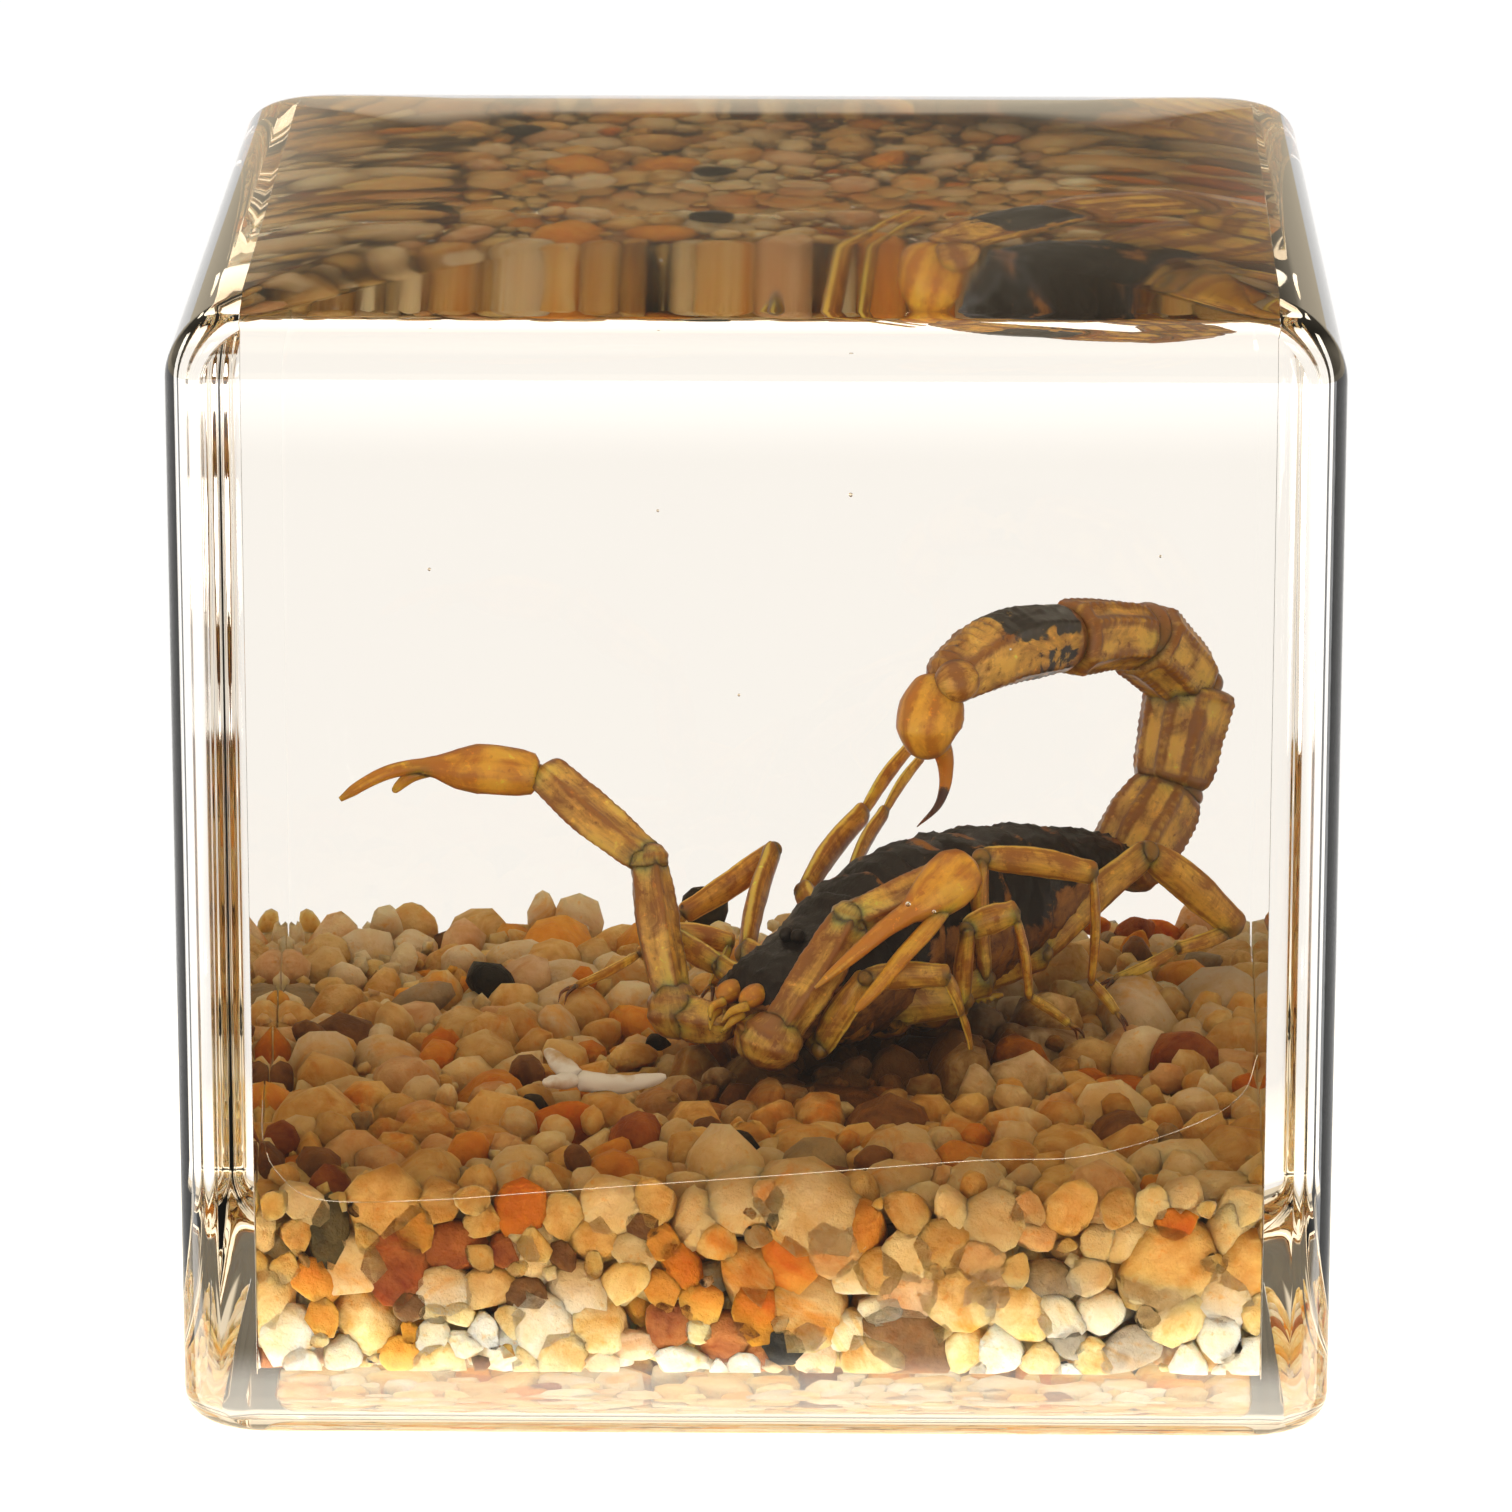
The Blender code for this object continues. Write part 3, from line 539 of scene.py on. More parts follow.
# painted shadow: the stones under the animal are painted dark, in a soft-edged ellipsoid below its belly
SHADOW_MIDDLE = (0.0048, -0.0012, 0.0112)
SHADOW_TURN = (0, 0, math.radians(36))
SHADOW_SIZE = (0.0115, 0.0062, 0.0036)
shadow_place = node(tree, "ShaderNodeMapping", place, SHADOW_MIDDLE, SHADOW_TURN, SHADOW_SIZE, vector_type="TEXTURE")
shadow_reach = node(tree, "ShaderNodeVectorMath", shadow_place.outputs[0], operation="LENGTH").outputs["Value"]
shadow_edge = maths(tree, "MULTIPLY_ADD", cloud, 0.7, shadow_reach)
under_shadow = ranged(tree, shadow_edge, 1.5, 0.85, 0.0, 0.9, smooth=True)
dimple = clouds(tree, shifted, 1100.0, 5.0, Roughness=0.6)
pits = node(tree, "ShaderNodeBump", 0.8, 0.0004, Height=dimple).outputs[0]
# the painted shadow under the animal darkens the stones' base colour here
fill(
    shader, Base_Color=mixed(tree, under_shadow, shade, (0.10, 0.032, 0.006)), Roughness=0.55,
    Specular_IOR_Level=0.12, Normal=pits, Subsurface_Weight=0.6, Subsurface_Radius=(1.0, 0.75, 0.5),
    Subsurface_Scale=0.0012,
)

middles, radii, held_count = poured_stones()
rng = random.Random(STONE_SEED)
stones = []  # (depth, kind, middle, span, turn, tone)
for middle, radius in zip(*grit_in_gaps(middles, radii)):
    kind = rng.choices(NAMES, SHARES)[0]
    turn = tuple(rng.uniform(0, 2 * math.pi) for _ in range(3))
    span = (radius * rng.uniform(1.0, 1.3), radius, radius * rng.uniform(0.8, 1.0))
    stones.append(("grit", kind, middle, span, turn, rng.random()))
for i, (middle, radius) in enumerate(zip(middles, radii)):
    x, y, z = middle
    near = min(BED_HALF - abs(x), BED_HALF - abs(y), z - BED_FLOOR, bed_height(y) - z)
    if i < held_count:
        kind, _, (across, up) = MARKED[i]
        span = (across, min(across, up), up)
        turn = (rng.uniform(-0.2, 0.2), rng.uniform(-0.5, 0.5), rng.uniform(-0.3, 0.3))
        if kind == "olive":
            turn = (0.0, 0.1, 0.0)
    else:
        kind = rng.choices(NAMES, SHARES)[0]
        stretch = rng.uniform(0.95, 1.4)
        flat = rng.uniform(0.72, 1.0)
        scale = radius * 1.1 / (stretch * flat) ** (1 / 3)
        span = (scale * stretch, scale, scale * flat)
        turn = tuple(rng.uniform(0, 2 * math.pi) for _ in range(3))
    stones.append(("seen" if near < OUTER_DEPTH else "buried", kind, middle, span, turn, rng.random()))

pour = pebble_nodes()
# each piece: which stones it takes, and of which kinds
COATS = {
    "cream_gravel": ("seen", ("cream",)),
    "white_gravel": ("seen", ("white", "grey")),
    "pink_gravel": ("seen", ("pink",)),
    "brown_gravel": ("seen", ("ochre", "amber", "brown", "rust", "black", "olive")),
    "grit": ("grit", NAMES),
    "buried_gravel": ("buried", NAMES),
}
for name, (depth, kinds) in COATS.items():
    chosen = [s for s in stones if s[0] == depth and s[1] in kinds]
    shapes = bpy.data.collections.new(name + "_shapes")
    bpy.context.scene.collection.children.link(shapes)
    for i in range(SHAPE_COUNT):
        wear = ("round" if i % 2 else "edges") if depth == "seen" else None
        shapes.objects.link(worn_stone(f"shape_{i:02d}", 40 + i, 11 + i % 3 if depth == "seen" else 9, wear))
    mesh = bpy.data.meshes.new(name)
    mesh.from_pydata([Vector(s[2]) * MM for s in chosen], [], [])
    for key, kind_of, values in (
        ("shape", "INT", [rng.randrange(SHAPE_COUNT) for _ in chosen]),
        ("kind", "FLOAT", [(NAMES.index(s[1]) + 0.5) / len(NAMES) for s in chosen]),
        ("tone", "FLOAT", [s[5] for s in chosen]),
    ):
        mesh.attributes.new(key, kind_of, "POINT").data.foreach_set("value", values)
    for key, column in (("span", 3), ("turn", 4)):
        flat = [value for s in chosen for value in s[column]]
        mesh.attributes.new(key, "FLOAT_VECTOR", "POINT").data.foreach_set("vector", flat)
    points = bpy.data.objects.new(name + "_points", mesh)
    bpy.context.scene.collection.objects.link(points)
    modifier = points.modifiers.new("pour", "NODES")
    modifier.node_group = pour
    given = {"Shapes": shapes, "Size": MM, "Material": pebble}
    for item in pour.interface.items_tree:
        if item.in_out == "INPUT" and item.name in given:
            modifier[item.identifier] = given[item.name]
    gravel = baked(points, name)
    press_to_mould(gravel.data)
    for shape in list(shapes.objects):
        bpy.data.objects.remove(shape)
    bpy.data.collections.remove(shapes)
    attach(gravel, "root")
    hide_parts("gravel_bed")

# ------------------------------------------------------------------------------- shell fragment
# A broken, bleached bit of branching shell that lies among the stones in front of the scorpion.

# each branch: its path from the fork, and its half width
SHELL_BRANCHES = (
    (((-7.2, -8.0, 12.0), (-6.0, -8.1, 11.85), (-4.9, -8.0, 11.85), (-3.6, -8.0, 12.15)), 0.42),
    (((-7.1, -8.0, 12.0), (-7.6, -7.6, 12.4), (-8.3, -6.6, 12.9)), 0.46),
    (((-7.1, -8.0, 12.0), (-7.7, -8.4, 12.0), (-8.4, -8.6, 12.0)), 0.34),
)
BRANCH_SHAPE = ((0, 0.3), (0.08, 0.95), (0.4, 1.0), (0.8, 0.72), (0.95, 0.5), (1, 0.2))


def along(stations, t):
    """The value at t, straight from one (t, value) station to the next."""
    ts, vs = zip(*stations)
    return float(np.interp(t, ts, vs))


def sized(shape, half):
    """(t, half size) stations from those of unit size."""
    return [(t, half * s) for t, s in shape]


def skin_layers(bm):
    """The marks on a skin's points, ridge and dark, and its map: made with the mesh's first skin."""
    marks, maps = bm.verts.layers.float, bm.loops.layers.uv
    ridge, dark = (marks.get(name) or marks.new(name) for name in ("ridge", "dark"))
    return ridge, dark, maps.get("skin") or maps.new("skin")


def wrapped(bm, loops, places, skin):
    """Faces over rings of points; the skin's map runs by the rings' places, and once around."""
    sides = len(loops[0])
    for k, face in enumerate(joined(bm, loops)):
        row, i = divmod(k, sides)
        corners = ((i, row), (i + 1, row), (i + 1, row + 1), (i, row + 1))
        for loop, (around, at) in zip(face.loops, corners):
            loop[skin].uv = (places[at], around / sides)


def fan(bm, ring):
    """Close a ring of points on a pole in its middle: (pole, faces)."""
    pole = bm.verts.new(sum((v.co for v in ring), Vector()) / len(ring))
    return pole, [bm.faces.new((one, two, pole)) for one, two in zip(ring, ring[1:] + ring[:1])]


def tube(bm, path, width, height, up, sides, rows, relief, section=None):
    """A closed tube along a path. width and height are (t, half size) stations; relief(t, angle) gives
    (share of the radius, ridge mark, dark mark) for each point of its skin; section(angle) its outline."""
    centres = smooth_path(path, rows)
    ridge_layer, dark_layer, skin = skin_layers(bm)
    up = Vector(up)
    loops, places, travelled = [], [], 0.0
    for k, centre in enumerate(centres):
        t = k / (rows - 1)
        forward = (centres[min(k + 1, rows - 1)] - centres[max(k - 1, 0)]).normalized()
        across = forward.cross(up).normalized()
        rise = across.cross(forward).normalized()
        if k:
            travelled += (centre - centres[k - 1]).length
        places.append(travelled * 0.1)
        w, h = along(width, t), along(height, t)
        ring = []
        for i in range(sides):
            angle = 2 * math.pi * i / sides
            factor, ridge, dark = relief(t, angle)
            x, y = section(angle) if section else (math.cos(angle), math.sin(angle))
            vert = bm.verts.new(centre + across * w * factor * x + rise * h * factor * y)
            vert[ridge_layer], vert[dark_layer] = ridge, dark
            ring.append(vert)
        loops.append(ring)
    wrapped(bm, loops, places, skin)
    for end in (0, -1):
        pole, faces = fan(bm, loops[end])
        for layer in (ridge_layer, dark_layer):
            pole[layer] = loops[end][0][layer]
        for i, face in enumerate(faces):
            for loop in face.loops:
                loop[skin].uv = (places[end], i / sides)


chalk, tree, shader, place = new_material("bleached_shell")
mottle = clouds(tree, place, 900.0, 5.0)
wear = node(tree, "ShaderNodeBump", 0.3, 0.0001, Height=mottle).outputs[0]
tint = ramp(tree, mottle, ((0.3, (0.62, 0.40, 0.20)), (0.5, (0.88, 0.80, 0.70))))
fill(shader, Base_Color=tint, Normal=wear, Roughness=0.6, Specular_IOR_Level=0.2)

bm = bmesh.new()
for path, half in SHELL_BRANCHES:

    def worn(t, angle, seed=half):
        around = Vector((t * 6, math.cos(angle) * 1.3, math.sin(angle) + seed * 9))
        return 1 + 0.16 * noise.noise(around), 0, 0

    size = sized(BRANCH_SHAPE, half)
    tube(bm, path, size, size, (0.1, 0.2, 1), 20, 26, worn)
fragment = finished("shell_piece", bm, chalk)
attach(fragment, "root")
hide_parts("shell_fragment")

# ------------------------------------------------------------------------------- scorpion trunk
# The dried animal's body: a black-brown carapace and seven overlapping back plates over a paler,
# amber-brown underside. The whole skin is chitin, thin enough for light to glow through its edges.

HEAD = Vector((-0.5, -4.1))
# (distance back from the head, height of the back), then of the belly, then half the breadth
BACK = (
    (-0.2, 15.5), (0.4, 15.9), (2.6, 16.6), (4.0, 17.3), (5.2, 18.35), (8.2, 19.5), (11.5, 19.8),
    (15.0, 19.65), (18.0, 19.1), (20.2, 18.55), (21.4, 17.9),
)
BELLY = (
    (-0.2, 13.6), (0.4, 12.7), (2.0, 12.3), (5.0, 12.3), (8.0, 12.9), (12.0, 13.5), (14.5, 14.6),
    (17.0, 16.0), (20.2, 16.8), (21.4, 16.7),
)
BREADTH = (
    (-0.2, 1.6), (0.4, 2.0), (3.0, 2.8), (5.2, 3.1), (9.0, 3.3), (14.0, 3.3), (17.5, 2.7), (20.2, 1.6),
    (21.4, 1.1),
)
TRUNK_START, TRUNK_LENGTH = -0.2, 21.3
CARAPACE_END = 5.2
PLATE_ENDS = (6.4, 7.9, 9.7, 11.7, 13.9, 16.4, 20.2)
TRUNK_ROWS, TRUNK_SIDES = 200, 72


def body_point(back, side, height):
    """A point by its distance back from the head, to the animal's left, and its height."""
    root = math.sqrt(0.5)
    return Vector((HEAD.x + root * (back + side), HEAD.y + root * (back - side), height))


def eased(stations, x):
    """Like along, with a little rounding at the stations."""
    return sum(along(stations, x + d) for d in (-0.5, -0.25, 0, 0.25, 0.5)) / 5


def step(value, low, high):
    """Smooth 0 to 1 between low and high."""
    u = min(max((value - low) / (high - low), 0.0), 1.0)
    return u * u * (3 - 2 * u)


def hump(value, middle, spread):
    """1 at the middle, falling away to 0 on both sides."""
    return math.exp(-(((value - middle) / spread) ** 2))


def chitin_group():
    """Dried chitin: Pale skin, Deep in its streaks and on its ridges, Blotch where it is darkened, and
    painted glints in small bright specks.
    """
    tree = bpy.data.node_groups.new("chitin_skin", "ShaderNodeTree")
    sockets(
        tree, "INPUT", Place="Vector", Skin="Vector", Pale="Color", Deep="Color", Blotch="Color",
        Ridge="Float", Dark="Float", Roughness="Float",
    )
    sockets(tree, "OUTPUT", Colour="Color", Gloss="Float", Grain="Float")
    given = tree.nodes.new("NodeGroupInput").outputs
    cloud = clouds(tree, given["Place"], 600.0, 7.0, Roughness=0.7, Distortion=1.0)
    fine = clouds(tree, given["Place"], 2600.0, 4.0, Roughness=0.6)
    stretched = node(tree, "ShaderNodeMapping", given["Skin"], Scale=(9.0, 26.0, 1.0)).outputs[0]
    streak = clouds(tree, stretched, 1.0, 5.0, Roughness=0.6, Distortion=0.6)
    depth = ranged(tree, maths(tree, "MULTIPLY_ADD", streak, 0.45, cloud), 0.60, 0.88, 0.0, 0.85)
    flecked = maths(tree, "ADD", ranged(tree, fine, 0.60, 0.70, 0.0, 0.55), given["Ridge"])
    deeper = maths(tree, "ADD", depth, flecked, use_clamp=True)
    base = mixed(tree, deeper, given["Pale"], given["Deep"])
    ragged = maths(tree, "ADD", given["Dark"], maths(tree, "MULTIPLY_ADD", cloud, 1.9, -0.95))
    blotched = mixed(tree, ranged(tree, ragged, 0.40, 0.56), base, given["Blotch"])
    # painted glints: where the fine noise is low the skin is painted up to 1.6 times brighter, as small
    # highlights
    lit = maths(tree, "ADD", ranged(tree, fine, 0.38, 0.28, 0.0, 0.6), 1.0)
    colour = node(tree, "ShaderNodeHueSaturation", Value=lit, Color=blotched).outputs[0]
    gloss = maths(tree, "MULTIPLY_ADD", cloud, 0.2, given["Roughness"])
    node(tree, "NodeGroupOutput", colour, gloss, fine)
    return tree


chitin_skin = chitin_group()


def chitin(name, pale, deep, blotch, glow, rough=0.24, pits=0.35, shine=0.6):
    """A material of the dried skin. glow is its share of light that passes through."""
    material, tree, shader, place = new_material(name)
    skin = node(
        tree, "ShaderNodeGroup", node_tree=chitin_skin, Place=place, Pale=(*pale, 1), Deep=(*deep, 1),
        Skin=tree.nodes["Texture Coordinate"].outputs["UV"], Blotch=(*blotch, 1),
        Ridge=mark(tree, "ridge"), Dark=mark(tree, "dark"), Roughness=rough,
    ).outputs
    # painted shade: the skin is painted darker where it turns away from the view, for the light that passes
    # through less of it at its edges
    turned = node(tree, "ShaderNodeLayerWeight", 0.5).outputs["Facing"]
    edge_shade = ranged(tree, turned, 0.25, 0.95, 0.0, 0.85, smooth=True)
    grain = node(tree, "ShaderNodeBump", pits, 0.00006, Height=skin["Grain"]).outputs[0]
    fill(
        shader, Base_Color=mixed(tree, edge_shade, skin["Colour"], (0.42, 0.24, 0.10), "MULTIPLY"),
        Roughness=skin["Gloss"], Normal=grain, Specular_IOR_Level=shine, Subsurface_Weight=glow,
        Subsurface_Radius=(1.0, 0.75, 0.5), Subsurface_Scale=0.0013,
    )
    return material


plate_chitin = chitin(
    "plate_chitin", (0.46, 0.19, 0.045), (0.13, 0.048, 0.014), (0.013, 0.006, 0.003), 0.15, 0.36, 1.0, 0.3
)
limb_chitin = chitin("limb_chitin", (1.0, 0.60, 0.09), (0.44, 0.18, 0.02), (0.05, 0.02, 0.008), 0.9)
tail_chitin = chitin("tail_chitin", (1.0, 0.62, 0.12), (0.36, 0.14, 0.02), (0.022, 0.014, 0.010), 0.9)
claw_chitin = chitin("claw_chitin", (1.0, 0.54, 0.05), (0.62, 0.24, 0.015), (0.05, 0.015, 0.008), 0.9, 0.3)

bm = bmesh.new()
ridge_layer, dark_layer, skin = skin_layers(bm)
loops = []
for k in range(TRUNK_ROWS):
    back = TRUNK_START + TRUNK_LENGTH * k / (TRUNK_ROWS - 1)
    share = 0.5  # of the way along a plate
    if back > CARAPACE_END:
        edges = (CARAPACE_END, *PLATE_ENDS, 30)
        i = sum(back > e for e in edges) - 1
        share = (back - edges[i]) / (edges[i + 1] - edges[i])
        plate_scale = 0.93 + 0.075 * step(share, 0, 0.7) - 0.05 * step(share, 0.9, 1.0)
        share = share if back < PLATE_ENDS[-1] else 0.5
    else:
        plate_scale = 1.0 - 0.06 * step(back, CARAPACE_END - 0.25, CARAPACE_END)
    top, bottom = eased(BACK, back), eased(BELLY, back)
    middle = bottom + 0.45 * (top - bottom)
    breadth = eased(BREADTH, back)
    end = math.sqrt(max(1 - ((0.5 - min(back + 0.2, 0.5)) / 0.5) ** 2, 0.05))
    end = min(end, math.sqrt(max(1 - (max(back - 20.6, 0) / 0.55) ** 2, 0.05)))
    ring = []
    for i in range(TRUNK_SIDES):
        angle = 2 * math.pi * (i + 0.5) / TRUNK_SIDES
        lean, rise = math.cos(angle), math.sin(angle)
        above = rise > 0
        plate = 1 + (plate_scale - 1) * step(rise, -0.25, 0.15)
        reach = (top - middle if above else middle - bottom) * plate * end
        side = math.copysign(abs(lean) ** 0.8, lean) * breadth * plate * end
        point = body_point(back, side, middle + rise * reach)
        out = (point - body_point(back, 0, middle)).normalized()
        lumps = noise.noise(point * 0.8) * 0.16 + noise.noise(point * 2.2) * 0.13
        rough = abs(noise.noise(point * 4.0)) * 0.16 + abs(noise.noise(point * 9.0)) * 0.05
        crest = hump(lean, 0, 0.1) * (0.10 if above and back > CARAPACE_END else 0)
        groove = -0.14 * hump(lean, 0, 0.1) if above and back < 4.6 else 0
        fold = 0.0 if above else -0.08 * hump(share, 0.02, 0.05)
        point += out * (lumps * (1 if above else 0.7) + rough + crest + groove + fold)
        vert = bm.verts.new(point)
        edge_pale = hump(share, 0.85, 0.14) * (0.5 + 1.1 * noise.noise(point * 0.55 + Vector((3, 1, 7))))
        cover = step(rise + 0.5 * noise.noise(point * 0.45), -0.15, 0.35)
        vert[dark_layer] = 0.1 + 0.72 * cover - max(0.0, 0.6 * edge_pale) * step(rise, 0.0, 0.4)
        vert[ridge_layer] = 0.5 * hump(share, 0.98, 0.04) + (0.0 if above else 0.25)
        ring.append(vert)
    loops.append(ring)
wrapped(bm, loops, [k * 0.01 for k in range(TRUNK_ROWS)], skin)
for end in (0, -1):
    fan(bm, loops[end])[0][dark_layer] = 0.6

ROUND = tuple((i / 16, max(0.05, math.sqrt(1 - (i / 8 - 1) ** 2))) for i in range(17))


def on_skin(t, angle, lengthwise, crosswise, shift=0.0):
    """A place for noise on a tube's skin, without a seam round it."""
    return Vector((t * lengthwise, math.cos(angle) * crosswise, math.sin(angle) * crosswise + shift))


def plain(factor, ridge, dark):
    """The same skin all over, for tube and bulb."""
    return lambda t, angle: (factor, ridge, dark)


def bulb(bm, start, end, half, sides, rows, relief, up=(0.2, 0.1, 1)):
    """A closed egg between two points."""
    size = sized(ROUND, half)
    tube(bm, (start, (Vector(start) + Vector(end)) / 2, end), size, size, up, sides, rows, relief)


for side in (0.32, -0.32):  # the pair of eyes on their hump
    centre = body_point(2.5, side, 16.8)
    bulb(bm, centre - Vector((0, 0, 0.3)), centre + Vector((0, 0, 0.32)), 0.3, 16, 14, plain(1, 0, 1))
trunk = finished("scorpion_trunk", bm, plate_chitin)

# ------------------------------------------------------------------------------- scorpion tail
# Five horny rings that curl forward over the back. Dark beaded keels run along each and frame sunk,
# thin panels that light shines through; a dark skin joins ring to ring. The bulb of the sting ends it.

# where ring meets ring: (distance back from the head, height)
TAIL_ENDS = ((20.9, 16.8), (23.8, 20.1), (24.95, 24.2), (22.1, 26.6), (17.8, 27.05), (10.9, 26.05))
TAIL_HALF = (1.72, 1.78, 1.66, 1.54, 1.5)
TAIL_ARCH = (0.1, 0.1, 0.05, 0.12, 0.6)
TAIL_OUTWARD = ((1, 1, 0), (1, 1, 0), (1, 1, 1.2), (0, 0, 1), (0, 0, 1))
RING_SHAPE = (
    (0, 0.45), (0.02, 0.64), (0.06, 0.78), (0.13, 0.89), (0.25, 0.94), (0.5, 0.97), (0.78, 1.03),
    (0.9, 1.05), (0.95, 0.98), (0.98, 0.84), (1, 0.55),
)
FIRST_SHAPE = (
    (0, 0.6), (0.05, 0.82), (0.2, 0.97), (0.4, 1.04), (0.65, 1.04), (0.82, 0.97), (0.92, 0.86),
    (0.97, 0.75), (1, 0.5),
)
LAST_SHAPE = (
    (0, 0.5), (0.03, 0.8), (0.1, 0.96), (0.25, 1.07), (0.45, 1.1), (0.65, 1.03), (0.82, 0.88),
    (0.93, 0.76), (0.98, 0.62), (1, 0.4),
)
LAST_RING = 4
TAIL_KEELS = (68, 112, 32, 148, -28, 208, -70, 250)  # degrees round from the outer side's right hand
LAST_KEELS = (35, 145, -40, 220, -90)


def ring_relief(number):
    keels = LAST_KEELS if number == LAST_RING else TAIL_KEELS

    def relief(t, angle):
        degrees = math.degrees(angle)
        near = min(abs((degrees - keel + 180) % 360 - 180) for keel in keels)
        window = step(near, 5, 13) * step(t, 0.10, 0.20) * step(1 - t, 0.07, 0.17)
        beads = 0.5 + 0.5 * math.sin(t * 2 * math.pi * (19 if number == LAST_RING else 13))
        keel = hump(near, 0, 4.5) * step(t, 0.03, 0.1)
        spot = on_skin(t, angle, 5, 2, 9 * number)
        dent = 0.02 * noise.noise(spot) + 0.012 * noise.noise(spot * 3)
        lift = 0.06 * keel * (0.6 + 0.5 * beads) - 0.085 * window * (0.6 + 0.4 * step(near, 10, 26)) + dent
        outline = hump(window, 0.35, 0.25) * step(t, 0.05, 0.12)
        panel = 0.85 * window * (0.8 + 0.9 * noise.noise(spot * 0.6))
        ridge = 0.55 - panel + 0.45 * outline - 0.3 * keel * beads
        dark = 0.35 * hump(t, 0.0, 0.035) + 0.3 * hump(t, 1.0, 0.03)
        if number == LAST_RING:  # swollen above, with a granular crest and a dark patch
            outer = math.sin(angle)
            lift += 0.085 * hump(degrees, 90, 34) * step(t, 0.25, 0.7) * (beads**2 - 0.2)
            lift += 0.05 * max(0.0, noise.noise(spot * 2.5)) * step(outer, -0.3, 0.5)
            patch = step(t, 0.08, 0.14) * step(0.72 - t, 0.0, 0.25)
            dark = 0.85 * patch * step(outer + 0.4 * noise.noise(spot * 0.6), 0.1, 0.6)
            dark += 0.5 * step(t, 0.1, 0.16) * step(0.55 - t, 0.0, 0.2) * step(0.15 - outer, 0, 0.4)
            dark += 0.35 * noise.noise(Vector((t * 22, math.cos(angle) * 2, outer * 3.5)))
            ridge = 0.5 - 0.5 * window + 0.2 * keel
        if number == 0:
            ridge, dark = ridge + 0.15, dark + 0.25 * hump(t, 0.95, 0.12)
        return 1 + lift, ridge, dark

    return relief


def knuckle_folds(t, angle):
    return 1 + 0.015 * math.sin(angle * 9), 0.3 + 0.6 * hump(t, 0.5, 0.42) * hump(t, 0.5, 0.12), 0


bm = bmesh.new()
tail_side = body_point(0, 1, 0) - body_point(0, 0, 0)
joints = [body_point(back, 0, height) for back, height in TAIL_ENDS]
for i, (a, b) in enumerate(zip(joints, joints[1:])):
    middle = (a + b) / 2 + Vector((0, 0, TAIL_ARCH[i]))
    past = (b - a) * 0.03
    size = sized({0: FIRST_SHAPE, LAST_RING: LAST_SHAPE}.get(i, RING_SHAPE), TAIL_HALF[i])
    tube(bm, (a - past, middle, b + past), size, sized(size, 0.96), TAIL_OUTWARD[i], 80, 80, ring_relief(i))
    if i:
        ahead = (joints[i + 1] - joints[i - 1]).normalized() * 0.7
        ball = TAIL_HALF[i] * (0.95 if i == 3 else 0.8)
        bulb(bm, a - ahead, a + ahead, ball, 32, 20, plain(1, 1, 0.25), tail_side)
knuckle = Vector((7.7, 2.75, 26.3))  # where the bulb of the sting turns on the last ring
bulb(
    bm, knuckle + Vector((0.85, 0.2, 0.25)), knuckle - Vector((0.85, 0.2, 0.3)), 0.88, 40, 30, knuckle_folds,
    tail_side,
)
tail = finished("scorpion_tail", bm, tail_chitin)

BULB = ((11.05, 26.0), (10.5, 25.5), (10.12, 24.7), (10.15, 23.95), (10.6, 23.35))
BULB_SIZE = (
    (0, 0.35), (0.05, 0.75), (0.18, 1.12), (0.4, 1.32), (0.62, 1.3), (0.8, 1.05), (0.93, 0.7), (1, 0.4),
)
STING = ((10.5, 23.8), (10.9, 23.1), (11.02, 22.4), (10.93, 21.7), (10.5, 21.0), (9.42, 20.35))
STING_SIZE = ((0, 0.5), (0.2, 0.38), (0.4, 0.29), (0.6, 0.22), (0.8, 0.14), (0.93, 0.07), (1, 0.02))


def bulb_stripes(t, angle):
    stripe = 0.5 + 0.5 * math.cos(angle * 7 + 0.4)
    blur = noise.noise(on_skin(t, angle, 4, 2))
    return 1 + 0.014 * stripe, 0.9 * stripe**3 + 0.5 * blur - 0.15, 0.0


def sting_tip(t, angle):
    return 1.0, 0.3 + t, max(0.0, (t - 0.42) * 2.4)


bm = bmesh.new()
for line, size, sides, rows, relief in (
    (BULB, BULB_SIZE, 64, 48, bulb_stripes), (STING, STING_SIZE, 24, 44, sting_tip),
):
    path = [body_point(back, 0, height) for back, height in line]
    tube(bm, path, size, size, tail_side, sides, rows, relief)
wart = body_point(11.05, 0.1, 24.5)
bulb(bm, wart + Vector((0, 0, 0.55)), wart - Vector((0, 0, 0.5)), 0.42, 24, 18, plain(1, 0.7, 0.2))
sting = finished("scorpion_sting", bm, claw_chitin)
